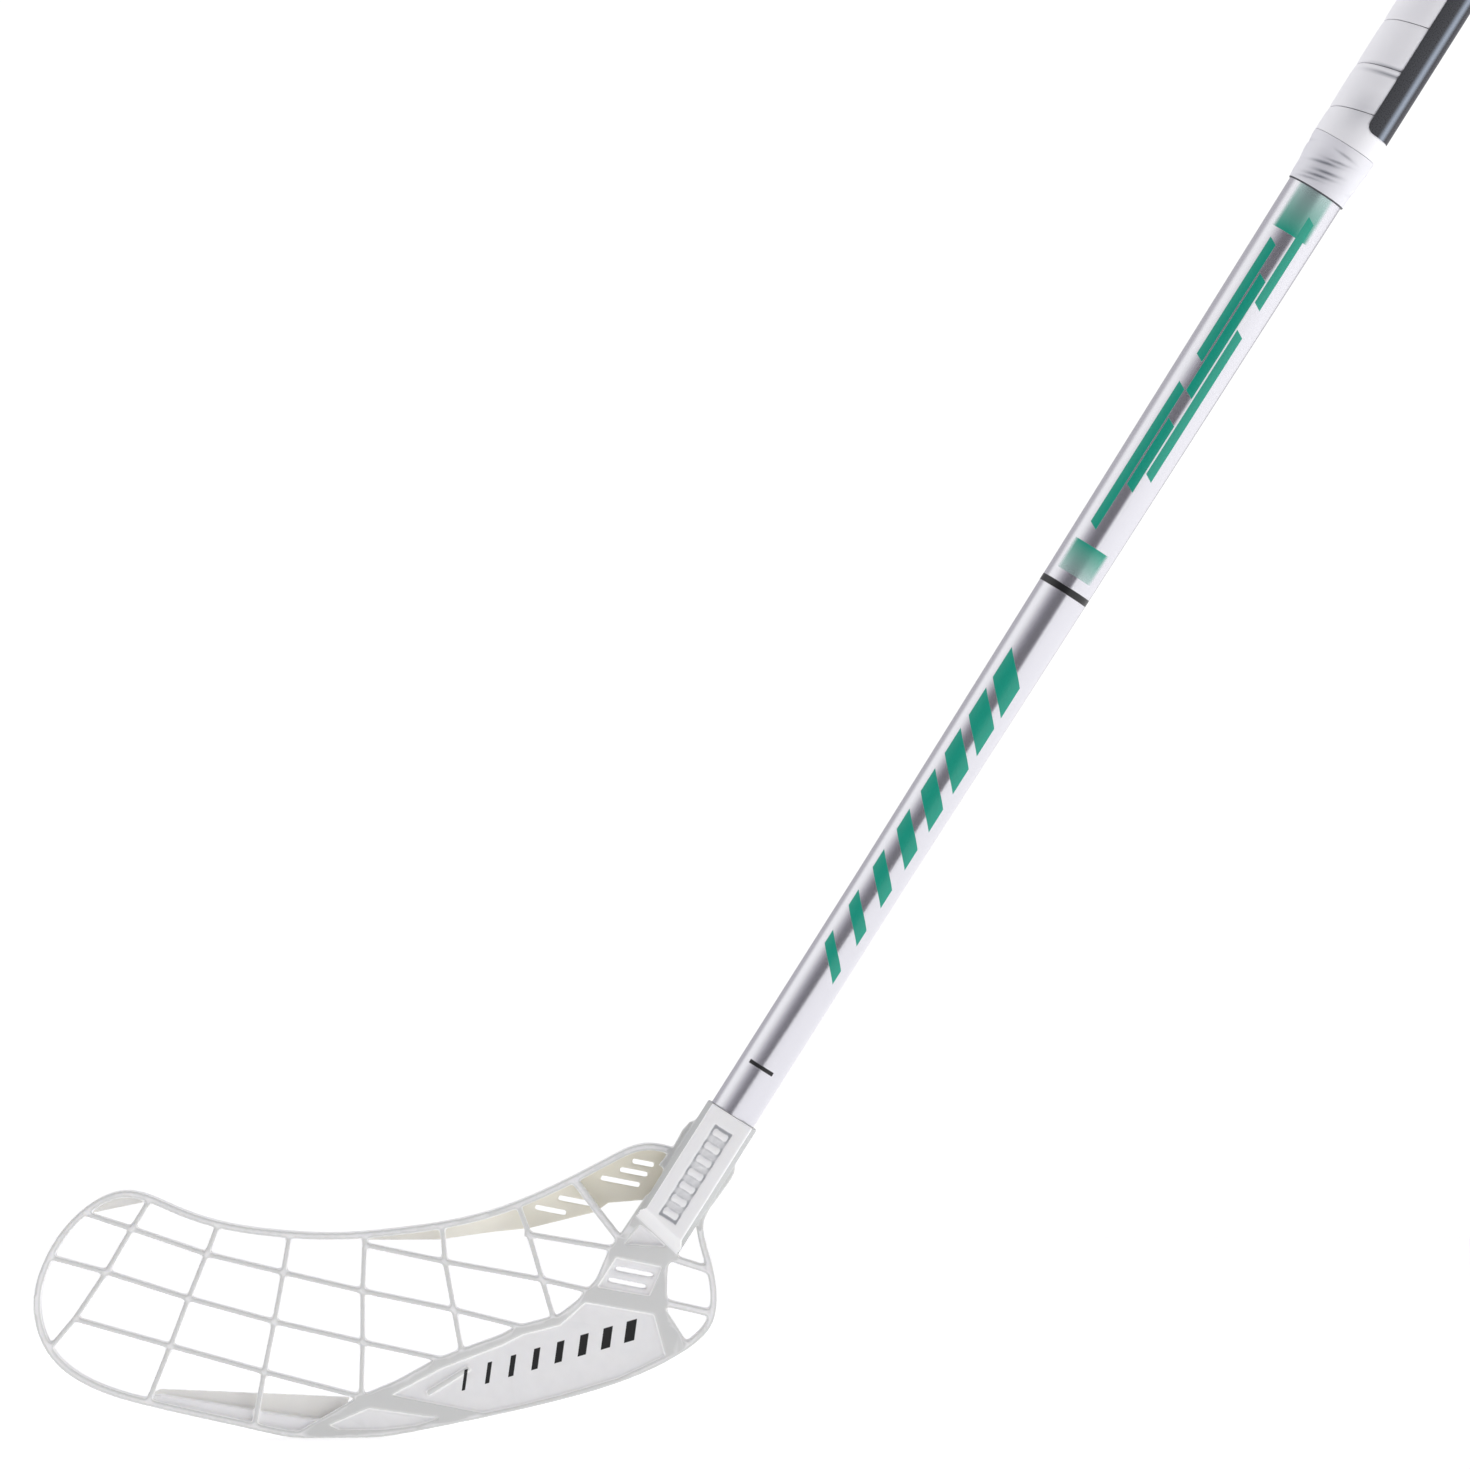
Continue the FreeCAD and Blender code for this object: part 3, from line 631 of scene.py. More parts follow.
# Painted light and shade of the moulded blade: colours of one plastic by zone, each over those before it.
BLADE_LIGHT_AND_SHADE = (
    # Hitting face of the plate and the ribs, greyed against the whiter edges and neck: painted shade.
    Tone("#dbdcda", ON_FACE),
    # Narrow edge of the blade, whitened: painted highlight.
    Tone("#fcfcfc", (Ramp(Measure.BREADTH, 0.62, 0.8), *ON_FACE)),
    # Edges and hollows: painted highlight on edges, painted shade in hollows.
    Tone("#e0e1df", (Ramp(Measure.RISE, 0.07, 0.18), *ON_FACE)),
    Tone("#d9dad9", (Ramp(Measure.RISE, -0.04, -0.3),)),
    # Neck in plain white, over the painted shade of the hollows.
    Tone("#fcfcfc", (ON_NECK,)),
    # Flanks of the neck, greyed as they turn from the front: painted shade.
    Tone("#bec0bf", (Ramp(Measure.DEPTH, -0.4, -0.8), Ramp(Measure.FACING, 0.44, 0.38))),
    # Grooves of the neck's panel, darkened: painted shade.
    Tone("#a6a8ac", (Ramp(Measure.RISE, -0.03, -0.12), ON_NECK, Ramp(Measure.FACING, 0.5, 0.8))),
    # Walls of the sunk panels, whitened: painted highlight.
    Tone("#fefefd", (Ramp(Measure.DEPTH, 0.15, 0.45), Ramp(Measure.DEPTH, 1.45, 1.15))),
    # Sole ledge, whitened where the rim shades it: painted light.
    Tone("#ffffff", (Ramp(Measure.DEPTH, 2.2, 2.8), Ramp(Measure.DEPTH, 7.0, 6.0), FRONTAL)),
    # Webs at the back, on their front faces: painted shade, a beige that grows yellower towards the neck.
    Tone("#f7f6f1", AT_BACK),
    Tone("#f0ecdb", (*AT_BACK, Ramp(Measure.Z, 30.0, 50.0), Ramp(Measure.X, -20.0, 120.0))),
)


@dataclass(frozen=True)
class PrintedMoulding(Grained):
    """Moulded plastic with painted light and shade by zone of its skin, and black stripes printed on its
    front.
    """

    painted_light: tuple[Tone, ...] = BLADE_LIGHT_AND_SHADE
    black: str = "#060607"
    print_turn: float = 16.4
    print_depth: float = 2.4
    stripes: Stripes = Stripes(Bar(6.3, 8.6, 62.9, 146.5, -0.45), 10.5, 0.16, 0.5)

    def tint(self, tree: NodeTree, place: NodeSocket) -> NodeSocket:
        """Lay the painted light and shade over the clouds, each zone's colour where all its ramps are high,
        then the print.

        Args:
            tree: Node tree that gets the nodes.
            place: Output of the Object coordinates.

        Returns:
            Output of the colour.
        """
        x, _, z = turned_place(tree, place)
        known = {Measure.X: x, Measure.Z: z}
        for measure in (Measure.RISE, Measure.BREADTH, Measure.DEPTH, Measure.FACING):
            known[measure] = add_node(tree, "Attribute", {"attribute_name": measure.value}).outputs["Fac"]
        layers = []
        # Each of these colours paints light and shade on its zone.
        for tone in self.painted_light:
            share = combined(tree, Meet.ALL, [ramp.mask(tree, known) for ramp in tone.ramps])
            layers.append((share, tone.colour))
        along, _, across = turned_place(tree, place, self.print_turn)
        stripes = self.stripes.mask(tree, across, along)
        shallow = add_node(tree, "Math", {"operation": "LESS_THAN"}, {
            0: known[Measure.DEPTH], 1: self.print_depth}).outputs[0]
        layers.append((combined(tree, Meet.ALL, (stripes, shallow)), self.black))
        return painted(tree, super().tint(tree, place), layers)


@dataclass(frozen=True)
class HighlightBandedFilm(Grained):
    """Printed film with a painted highlight, a soft steel-blue band along it, placed by the piece's own
    map.
    """

    # Colour of the painted highlight band.
    band: str = "#8d97a6"
    highlight_across: float = 13.0
    highlight_half: float = 1.6
    highlight_soft: float = 3.2

    def tint(self, tree: NodeTree, place: NodeSocket) -> NodeSocket:
        """Lay the painted highlight band over the clouds, at its arc length round the grip.

        Args:
            tree: Node tree that gets the nodes.
            place: Output of the Object coordinates.

        Returns:
            Output of the colour.
        """
        uv = add_node(tree, "UVMap", {"uv_map": PRINT_MAP}).outputs[0]
        across = add_node(tree, "SeparateXYZ", None, {0: uv}).outputs[0]
        # Painted highlight: a band of sheen along the film.
        band = soft_band(tree, across, self.highlight_across, self.highlight_half, self.highlight_soft)
        return painted(tree, super().tint(tree, place), [(band, self.band)])


@dataclass(frozen=True)
class CreaseShaded(Grained):
    """Soft white finish with painted shade in its creases, darker by the depth noted on the piece."""

    # Colour of the painted shade in the creases.
    crease: str = "#8f9199"
    full_depth: float = 0.7

    def tint(self, tree: NodeTree, place: NodeSocket) -> NodeSocket:
        """Lay the painted shade of the creases over the clouds.

        Args:
            tree: Node tree that gets the nodes.
            place: Output of the Object coordinates.

        Returns:
            Output of the colour.
        """
        depth = add_node(tree, "Attribute", {"attribute_name": Measure.DEPTH.value}).outputs["Fac"]
        # Painted shade, full at the full crease depth.
        share = add_node(tree, "MapRange", None, {"Value": depth, "From Max": self.full_depth}).outputs[0]
        return painted(tree, super().tint(tree, place), [(share, self.crease)])


@dataclass(frozen=True)
class ShadowLinedTape(CreaseShaded):
    """Tape with creases and a painted shadow in a thin dark line round the shaft at its lower cut edge."""

    # Colour of the painted shadow line under the tape's edge.
    line: str = "#3d3f45"
    shadow_line_height: float = GRIP_START
    shadow_line_half: float = 0.7

    def tint(self, tree: NodeTree, place: NodeSocket) -> NodeSocket:
        """Lay the painted shadow line over the creased clouds, at its height along the shaft.

        Args:
            tree: Node tree that gets the nodes.
            place: Output of the Object coordinates.

        Returns:
            Output of the colour.
        """
        _, _, height = turned_place(tree, place, -SHAFT.lean)
        # Painted shadow line round the shaft at the tape's lower edge.
        line = soft_band(tree, height, SHAFT.mouth_rise() + self.shadow_line_height, self.shadow_line_half, PRINT_EDGE)
        return painted(tree, super().tint(tree, place), [(line, self.line)])


@dataclass(frozen=True)
class PearlLacquer:
    """Clear-coated silver pearl lacquer on the composite tube, with teal and black screen print."""

    name: str = "pearl_lacquer_on_composite"
    silver: str = "#e6e6ea"
    shade: str = "#dbdae1"
    teal: str = "#009f86"
    black: str = "#101113"
    metallic: float = 0.85
    gloss: tuple[float, float] = (0.13, 0.2)
    coat: float = 0.2
    coat_roughness: float = 0.06
    # Pearl flakes are a few hundredths of a millimetre; they are drawn coarser so that they show.
    flake: float = 0.35
    flake_detail: float = 1.0
    ink_roughness: float = 0.4
    ink_height: float = 0.03
    ink_strength: float = 0.3
    ring_height: float = 270.0
    ring_half: float = 1.6
    teal_print: tuple[Bar | Wash | Stripes, ...] = (
        Bar(-4.8, 4.2, 300, 372, 0.5), Bar(0.1, 4.2, 322, 356, 0.5), Bar(5.0, 4.2, 330, 404, 0.5),
        Bar(-4.8, 4.2, 386, 446, 0.5), Bar(0.1, 4.2, 370, 430, 0.5), Bar(5.0, 4.2, 418, 462, 0.5),
        Wash(277.0, 292.0), Wash(GRIP_START, 452.0),
        Stripes(Bar(0.0, 13.4, 78.0, 233.5, 1.0), 19.5, 0.36, 0.86),
    )
    tick: Bar = Bar(-0.7, 12.4, 23.4, 25.2)

    def material(self) -> Material:
        """Make the material from the tube's own UV map, whose unit is a millimetre.

        Returns:
            The material.
        """
        material, surface = new_material(self.name, {
            "Coat Weight": self.coat, "Coat Roughness": self.coat_roughness})
        tree = material.node_tree
        uv = add_node(tree, "UVMap", {"uv_map": PRINT_MAP}).outputs[0]
        axes = add_node(tree, "SeparateXYZ", None, {0: uv})
        arc, height = axes.outputs[0], axes.outputs[1]
        place = add_node(tree, "TexCoord").outputs["Object"]
        flakes = add_node(tree, "TexNoise", None, {
            "Vector": place, "Scale": 1 / (self.flake * MM), "Detail": self.flake_detail}).outputs["Fac"]
        teal = combined(tree, Meet.ANY, [shape.mask(tree, arc, height) for shape in self.teal_print])
        ring = soft_band(tree, height, self.ring_height, self.ring_half, PRINT_EDGE)
        black = combined(tree, Meet.ANY, (ring, self.tick.mask(tree, arc, height)))
        ink = combined(tree, Meet.ANY, (teal, black))
        colour = painted(tree, linear(self.silver), [
            (flakes, self.shade), (teal, self.teal), (black, self.black)])
        metal = add_node(tree, "MapRange", None, {
            "Value": ink, "To Min": self.metallic, "To Max": 0.0}).outputs[0]
        bare = add_node(tree, "MapRange", None, {
            "Value": flakes, "From Min": NOISE_SPAN[0], "From Max": NOISE_SPAN[1],
            "To Min": self.gloss[0], "To Max": self.gloss[1]}).outputs[0]
        gloss = add_node(tree, "MapRange", None, {
            "Value": ink, "To Min": bare, "To Max": self.ink_roughness}).outputs[0]
        relief = add_node(tree, "Bump", None, {
            "Strength": self.ink_strength, "Distance": self.ink_height * MM, "Height": ink})
        tree.links.new(colour, surface.inputs["Base Color"])
        tree.links.new(metal, surface.inputs["Metallic"])
        tree.links.new(gloss, surface.inputs["Roughness"])
        tree.links.new(relief.outputs[0], surface.inputs["Normal"])
        return material


# Polyethylene, injection moulded: waxy white that lets a little light through, with a faint
# spark-eroded grain from the mould.
# Its colours by zone are painted light and shade.
POLYETHYLENE = PrintedMoulding("moulded_polyethylene", "#fafafa", "#f0f0f0", 0.4, cloud=5, grain=0.7,
                               bump=0.03, subsurface=0.1)
# Hot-melt glue: amber and glossy as it sets.
HOT_MELT = Grained("set_hot_melt", "#d9c79a", "#cdb884", 0.25, cloud=8, grain=1.5)
# Zinc-plated steel: grey metal with a fine rolled grain.
ZINC_STEEL = Grained("zinc_plated_steel", "#b9bcc0", "#9fa3a8", 0.32, cloud=3, grain=0.15, bump=0.01,
                     metallic=1.0)
# Polyurethane tape, cast smooth: satin white with a cold cast; painted crease shade and a painted shadow
# line at its foot.
POLYURETHANE_TAPE = ShadowLinedTape("cast_polyurethane_tape", "#ededf1", "#e3e3ea", 0.4, cloud=14, grain=0.9,
                              bump=0.06)
# Acrylic adhesive backing: grey and tacky.
ADHESIVE = Grained("acrylic_adhesive", "#9a9ba3", "#8b8c95", 0.5, cloud=10, grain=1.0)
# Polyurethane foam grip: soft white skin with fine pores, and painted shade in its creases.
GRIP_FOAM = CreaseShaded("polyurethane_grip_foam", "#f9f9fb", "#f1f1f5", 0.55, cloud=18, grain=0.8, bump=0.10)
# Polyester label film, printed charcoal and laminated: deep and glossy, with a painted highlight band along
# it.
LABEL_FILM = HighlightBandedFilm("laminated_label_film", "#1f2128", "#282a32", 0.3, cloud=25, grain=0.5, bump=0.005)
# Polypropylene, injection moulded: satin white.
POLYPROPYLENE = Grained("moulded_polypropylene", "#e8e8ec", "#dedee4", 0.4, cloud=20, grain=0.5, bump=0.03)
# Opal acrylic sheet of a light table: matt white that glows a little.
OPAL_ACRYLIC = Grained("opal_acrylic_light_table", "#f4f4f4", "#f1f1f1", 0.7, cloud=400, grain=6, glow=0.35)

# Finishes of the pieces that keep their CAD solid.
SOLID_FINISHES = {"blade_glue": HOT_MELT, "neck_screw": ZINC_STEEL, "grip_adhesive": ADHESIVE}


def dress(piece: Object, material: Material) -> None:
    """Give a piece one material in place of what it has."""
    piece.data.materials.clear()
    piece.data.materials.append(material)


def settle(piece: Object, material: Material, node: str) -> Object:
    """Dress a new piece, let it ride on the stick and stand for a CAD node.

    Args:
        piece: The piece.
        material: Its material.
        node: CAD node that it replaces.

    Returns:
        The piece.
    """
    dress(piece, material)
    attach(piece, BODY)
    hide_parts(node)
    return piece


class Skin:
    """A dense closed mesh of quads as arrays in millimetres, shaped as a whole."""

    def __init__(self, mesh: Mesh) -> None:
        """Read points, edges and quads.

        Args:
            mesh: Mesh of quads, in metres.
        """
        self.points = np.empty(len(mesh.vertices) * 3, np.float32)
        mesh.vertices.foreach_get("co", self.points)
        self.points = self.points.reshape(-1, 3) / MM
        ends = np.empty(len(mesh.edges) * 2, np.int32)
        mesh.edges.foreach_get("vertices", ends)
        ends = ends.reshape(-1, 2)
        self.here = np.concatenate((ends[:, 0], ends[:, 1]))
        self.there = np.concatenate((ends[:, 1], ends[:, 0]))
        self.quads = np.empty(len(mesh.loops), np.int32)
        mesh.loops.foreach_get("vertex_index", self.quads)
        self.quads = self.quads.reshape(-1, 4)
        self.share = 1 / np.bincount(self.here, minlength=len(self.points))[:, None]

    def gathered(self, places: np.ndarray, values: np.ndarray) -> np.ndarray:
        """Sum of rows of values for each point, from the point number of each row."""
        count = len(self.points)
        return np.stack([np.bincount(places, values[:, axis], count) for axis in range(3)], axis=-1)

    def means(self, points: np.ndarray) -> np.ndarray:
        """Mean of the neighbours of each point."""
        return self.gathered(self.here, points[self.there]) * self.share

    def normals(self) -> np.ndarray:
        """Find the outward normals: sums of the cross products of the quads' diagonals.

        Returns:
            A unit normal for each point.
        """
        corner = self.points[self.quads]
        cross = np.cross(corner[:, 2] - corner[:, 0], corner[:, 3] - corner[:, 1])
        total = self.gathered(self.quads.ravel(), np.repeat(cross, 4, axis=0))
        return total / np.maximum(np.linalg.norm(total, axis=1, keepdims=True), TINY)

    def fill_corners(self, rounds: int, sweeps: int) -> None:
        """Round the inner corners of walls that run from front to back.

        Each sweep moves a point out along its normal by half of its neighbours' height over it, if
        that is positive, times a share that falls from one to zero as the normal turns to front or
        back.

        Args:
            rounds: Number of times that the normals are found.
            sweeps: Sweeps with the same normals.
        """
        for _ in range(rounds):
            normal = self.normals()
            share = np.clip(1 - 2 * np.abs(normal[:, 1:2]), 0, 1)
            for _ in range(sweeps):
                height = np.sum((self.means(self.points) - self.points) * normal, axis=1, keepdims=True)
                self.points = self.points + normal * np.maximum(height, 0) * share / 2

    def relax(self, rounds: int) -> None:
        """Move each point half way to the mean of its neighbours, a number of times."""
        for _ in range(rounds):
            self.points = (self.points + self.means(self.points)) / 2

    def rise(self, rounds: int) -> np.ndarray:
        """Measure the height over a smoothed copy of the skin: positive on edges, negative in hollows.

        Args:
            rounds: Number of times that the copy's points move to the mean of their neighbours.

        Returns:
            A height for each point.
        """
        smooth = self.points
        for _ in range(rounds):
            smooth = self.means(smooth)
        return np.sum((self.points - smooth) * self.normals(), axis=1)


@dataclass
class Blade:
    """The moulded blade: the CAD solid with the soft edges and rounded corners of a moulding."""

    voxel: float = 0.45
    corner_rounds: int = 14
    corner_sweeps: int = 5
    relax_rounds: int = 3
    rise_rounds: int = 8
    breadth_rounds: int = 60
    swell: float = 0.1
    most_triangles: int = 180_000
    hook_start: float = 100.0
    hook_radius: float = 1000.0
    face_offset: float = -0.5

    def build(self) -> list[Object]:
        """Remesh a merged copy of the CAD solid into even cells, shape its skin and thin it.

        Returns:
            The one piece.
        """
        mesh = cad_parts["blade"].data.copy()
        edit(mesh, join_doubles)
        source = put_in_scene("blade_source", mesh)
        cells = source.modifiers.new("cells", "REMESH")
        cells.mode = "VOXEL"
        cells.voxel_size = self.voxel * MM
        fine = self.baked(source)
        self.shape(fine)
        source.modifiers.clear()
        source.data = fine
        thin = source.modifiers.new("thin", "DECIMATE")
        thin.ratio = min(1.0, self.most_triangles / (2 * len(fine.polygons)))
        final = self.baked(source)
        bpy.data.objects.remove(source)
        final.shade_smooth()
        piece = put_in_scene("blade_moulding", final)
        return [settle(piece, POLYETHYLENE.material(), "blade")]

    def baked(self, piece: Object) -> Mesh:
        """Apply the modifiers of a piece.

        Args:
            piece: The piece, which stays as it is.

        Returns:
            A new mesh.
        """
        graph = bpy.context.evaluated_depsgraph_get()
        graph.update()
        return bpy.data.meshes.new_from_object(piece.evaluated_get(graph))

    def shape(self, mesh: Mesh) -> None:
        """Round the corners and edges of the dense mesh and note its measures.

        Args:
            mesh: Mesh of quads, changed in place.
        """
        skin = Skin(mesh)
        skin.relax(1)
        skin.fill_corners(self.corner_rounds, self.corner_sweeps)
        skin.relax(self.relax_rounds)
        skin.points = skin.points + self.swell * skin.normals()
        mesh.vertices.foreach_set("co", (skin.points * MM).astype(np.float32).ravel())
        note(mesh, Measure.RISE, skin.rise(self.rise_rounds))
        note(mesh, Measure.BREADTH, skin.rise(self.breadth_rounds))
        note(mesh, Measure.DEPTH, self.depth(skin.points))
        note(mesh, Measure.FACING, -skin.normals()[:, 1])

    def depth(self, points: np.ndarray) -> np.ndarray:
        """Measure the distance behind the hitting face: a plane up to the hook, then a cylinder.

        Args:
            points: Points in millimetres.

        Returns:
            A distance for each point.
        """
        along = np.minimum(points[:, 0] - self.hook_start, 0)
        back = points[:, 1] - self.face_offset
        return np.hypot(along, back + self.hook_radius) - self.hook_radius


@dataclass
class Shaft:
    """The tapered tube, whose heights are above the mouth of the neck."""

    low_radius: float = 10.7
    spigot_radius: float = 10.3
    top_radius: float = 13.0
    wall: float = 1.5
    shoulder: float = 0.1
    straight: float = 120.0
    taper: float = 354.0
    length: float = 960.0
    edge: float = 0.15

    def build(self) -> list[Object]:
        """Revolve the tube's wall.

        Returns:
            The one piece.
        """
        bottom = -SHAFT.insert
        top = self.length - SHAFT.insert
        wide = self.straight + self.taper
        corners = [
            (self.spigot_radius, bottom), (self.spigot_radius, self.shoulder),
            (self.low_radius, self.shoulder), (self.low_radius, self.straight),
            (self.top_radius, wide), (self.top_radius, top),
            (self.top_radius - self.wall, top), (self.top_radius - self.wall, wide),
            (self.low_radius - self.wall, self.straight), (self.low_radius - self.wall, bottom),
        ]
        piece = turned_piece("shaft_lacquered", rounded(corners, self.edge), Wrap.ROWS | Wrap.COLUMNS)
        return [settle(piece, PearlLacquer().material(), "shaft_tube")]


@dataclass(frozen=True)
class Crease:
    """A groove in the grip: middle angle and height, rise per radian, width, depth and spread."""

    angle: float
    height: float
    rise: float
    width: float
    depth: float
    spread: float


@dataclass
class Grip:
    """Finishing tape, wound band, label and butt plug, with heights above the mouth of the neck."""

    start: float = GRIP_START
    end: float = 908.5
    tape_inside: float = 13.05
    tape_length: float = 24.0
    tape_thickness: float = 0.6
    tape_least: float = 0.05
    tape_lip: float = 0.02
    tape_folds: float = 2.6
    tape_waver: float = 0.8
    tape_swell: float = 0.12
    tape_fade: float = 6.0
    tape_grid: tuple[int, int] = (130, 256)
    band_inside: float = 13.25
    band_thickness: float = 1.7
    band_width: float = 21.0
    band_gap: float = 0.6
    band_seam: float = 0.25
    band_clear: float = 0.2
    band_tail: float = 1.0
    band_power: float = 0.35
    band_ripple: float = 0.06
    band_ripple_rates: tuple[float, float] = (5.3, 1.7)
    band_turn_steps: int = 72
    band_section_steps: int = 28
    label_start: float = 508.0
    label_length: float = 120.0
    label_thickness: float = 0.3
    label_slip: float = 0.05
    label_first: float = 13.0
    label_angle: float = 130.0
    label_corner: float = 4.0
    label_crowding: float = 1.6
    label_grid: tuple[int, int] = (60, 48)
    plug_radius: float = 15.4
    plug_height: float = 4.0
    plug_straight: float = 2.4
    plug_fall: float = 0.4
    plug_dome: float = 2.5
    plug_lead: float = 1.2
    plug_shank: float = 28.0
    plug_shank_radius: float = 11.42
    plug_corner_steps: int = 6
    plug_segments: int = 96
    # Grooves, which the foam and tape finishes darken as painted shade; the two 6 and 7 mm wide, shallow
    # ones mostly paint a soft grey shade left of the front.
    creases: tuple[Crease, ...] = (
        Crease(-0.5, 477.5, 2.6, 0.6, 0.4, 0.4), Crease(-0.25, 480.2, 2.9, 0.7, 0.6, 0.45),
        Crease(-0.05, 483.2, 2.6, 0.7, 0.6, 0.4), Crease(-0.3, 486.4, 3.0, 0.7, 0.6, 0.45),
        Crease(0.05, 489.4, 2.4, 0.6, 0.5, 0.35), Crease(0.15, 493.5, -1.2, 0.6, 0.45, 0.3),
        Crease(-0.25, 484.0, 2.0, 6.0, 0.22, 0.4), Crease(-0.15, 514.0, 3.0, 7.0, 0.2, 0.4),
        Crease(2.4, 484.0, 3.0, 0.7, 0.55, 0.9), Crease(-2.3, 490.0, 2.5, 0.7, 0.55, 0.8),
        Crease(-0.3, 507.0, 4.0, 0.8, 0.35, 0.5), Crease(0.0, 533.5, 3.4, 0.7, 0.6, 0.7),
        Crease(-0.1, 536.5, 3.4, 0.7, 0.5, 0.6), Crease(-2.0, 560.0, 3.0, 0.9, 0.4, 0.8),
    )

    def creased(self, angle: np.ndarray, height: np.ndarray) -> np.ndarray:
        """Depth of the creases at places on the grip.

        Each crease is a groove whose depth falls off as a bell curve across it and round the grip,
        along a line that rises with the angle.

        Args:
            angle: Angles round the shaft, from the front.
            height: Heights above the mouth of the neck.

        Returns:
            Depths in millimetres.
        """
        turn = np.mod(angle + math.pi, 2 * math.pi) - math.pi
        depth = np.zeros(np.broadcast(angle, height).shape)
        for crease in self.creases:
            across = height - crease.height - crease.rise * (turn - crease.angle)
            around = (turn - crease.angle) / crease.spread
            depth = depth + crease.depth * np.exp(-(across / crease.width) ** 2 - around ** 2)
        return depth

    def build_tape(self) -> Object:
        """Wrap a creased sleeve that widens from the shaft to the band.

        Its outer radius rises smoothly with the height, swells in slow folds and drops in creases.

        Returns:
            The piece.
        """
        rows, columns = self.tape_grid
        level = np.linspace(0, 1, rows)[:, None]
        angle = np.linspace(-math.pi, math.pi, columns, endpoint=False)[None, :]
        along = self.start + self.tape_length * level + 0 * angle
        fold = np.sin(2 * math.pi * self.tape_folds * level + angle + self.tape_waver * np.sin(2 * angle))
        flare = self.band_inside + self.band_thickness - self.tape_inside - self.tape_thickness
        lip = np.sqrt(np.minimum(1, level / self.tape_lip))
        dent = self.creased(angle, along)
        wall = self.tape_thickness * lip + flare * level ** 2 * (3 - 2 * level)
        swell = self.tape_swell * fold * np.minimum(1, self.tape_fade * (1 - level)) * lip
        outer = self.tape_inside + np.maximum(wall + swell - dent, self.tape_least)
        inner = np.full((2, columns), self.tape_inside)
        ends = self.start + self.tape_length * np.array([[1.0], [0.0]]) + 0 * angle
        points = SHAFT.ring(np.vstack((outer, inner)), angle, np.vstack((along, ends)))
        quads = grid_quads(rows + 2, columns, Wrap.ROWS | Wrap.COLUMNS)
        piece = new_piece("grip_tape_wrap", points, quads, None, np.vstack((dent, 0 * inner)))
        return settle(piece, POLYURETHANE_TAPE.material(), "grip_end_tape")

    def build_band(self) -> Object:
        """Carry a crowned strip up a helix: a superellipse section, width along the shaft.

        Its middle rises by the pitch in each turn, and its outside ripples as a product of two sines
        and drops in creases. Tails run on past both ends and are pressed flat there.

        Returns:
            The piece.
        """
        bottom = self.start + self.tape_length + self.band_clear
        low = bottom + self.band_width / 2
        high = self.end - self.band_gap - self.band_width / 2
        turns = int(2 * (high - low) / (self.band_width + self.band_gap)) / 2
        pitch = (high - low) / turns
        tail = 2 * math.pi * (self.band_width - self.band_tail) / pitch
        steps = int((turns + 2) * self.band_turn_steps)
        section = np.linspace(0, 2 * math.pi, self.band_section_steps, endpoint=False)[None, :]
        out = np.sign(np.cos(section)) * np.abs(np.cos(section)) ** self.band_power
        side = np.sign(np.sin(section)) * np.abs(np.sin(section)) ** self.band_power
        turn = np.linspace(-tail, 2 * math.pi * turns + tail, steps)[:, None]
        middle = self.band_inside + self.band_thickness / 2
        quick, slow = self.band_ripple_rates
        ripple = self.band_ripple * np.sin(quick * turn + 2 * side) * np.sin(slow * turn)
        height = low + pitch * turn / (2 * math.pi) + (pitch - self.band_seam) / 2 * side
        height = np.clip(height, bottom, self.end - self.band_clear)
        angle = turn + math.pi / 2
        dent = self.creased(angle, height)
        radius = middle + self.band_thickness / 2 * out + (ripple - dent) * (out > 0)
        points = SHAFT.ring(radius, angle, height)
        quads = grid_quads(steps, self.band_section_steps, Wrap.COLUMNS)
        piece = new_piece("grip_wound_band", points, quads, None, dent)
        edit(piece.data, close_rings, face_outwards)
        return settle(piece, GRIP_FOAM.material(), "grip_band")

    def build_label(self) -> Object:
        """Curve a thin plate with rounded corners round the grip.

        Rows run round the grip and lie closer towards both ends, where each is drawn in by a quarter
        circle.

        Returns:
            The piece.
        """
        rows, columns = self.label_grid
        radius = self.band_inside + self.band_thickness + self.label_slip
        even = np.linspace(-1, 1, rows)
        crowded = np.sign(even) * (1 - (1 - np.abs(even)) ** self.label_crowding)
        along = self.label_length / 2 * (1 + crowded)
        near = np.minimum(along, self.label_length - along)
        drop = np.clip(1 - near / self.label_corner, 0, 1)
        inset = self.label_corner * (1 - np.sqrt(np.clip(1 - drop ** 2, 0, 1)))
        half = math.radians(self.label_angle) / 2 - inset / radius
        middle = math.radians(self.label_first) + math.radians(self.label_angle) / 2
        angle = middle + half[:, None] * np.linspace(-1, 1, columns)[None, :]
        height = self.label_start + along[:, None] + 0 * angle
        lifts = (0.0, self.label_thickness)
        sheets = [SHAFT.ring(radius + lift + 0 * angle, angle, height) for lift in lifts]
        around = self.border(rows, columns)
        following = np.roll(around, -1)
        count = rows * columns
        inner = grid_quads(rows, columns, Wrap.NONE)
        walls = np.stack((around, following, following + count, around + count), axis=-1)
        quads = np.vstack((inner, inner + count, walls))
        flat = np.stack((radius * angle, height), axis=-1).reshape(-1, 2)
        piece = new_piece("grip_film_label", np.stack(sheets), quads, np.vstack((flat, flat))[quads])
        return settle(piece, LABEL_FILM.material(), "grip_label")

    def border(self, rows: int, columns: int) -> np.ndarray:
        """Point numbers round the edge of a grid, in order."""
        number = np.arange(rows * columns).reshape(rows, columns)
        return np.concatenate((number[0, :-1], number[:-1, -1], number[-1, :0:-1], number[:0:-1, 0]))

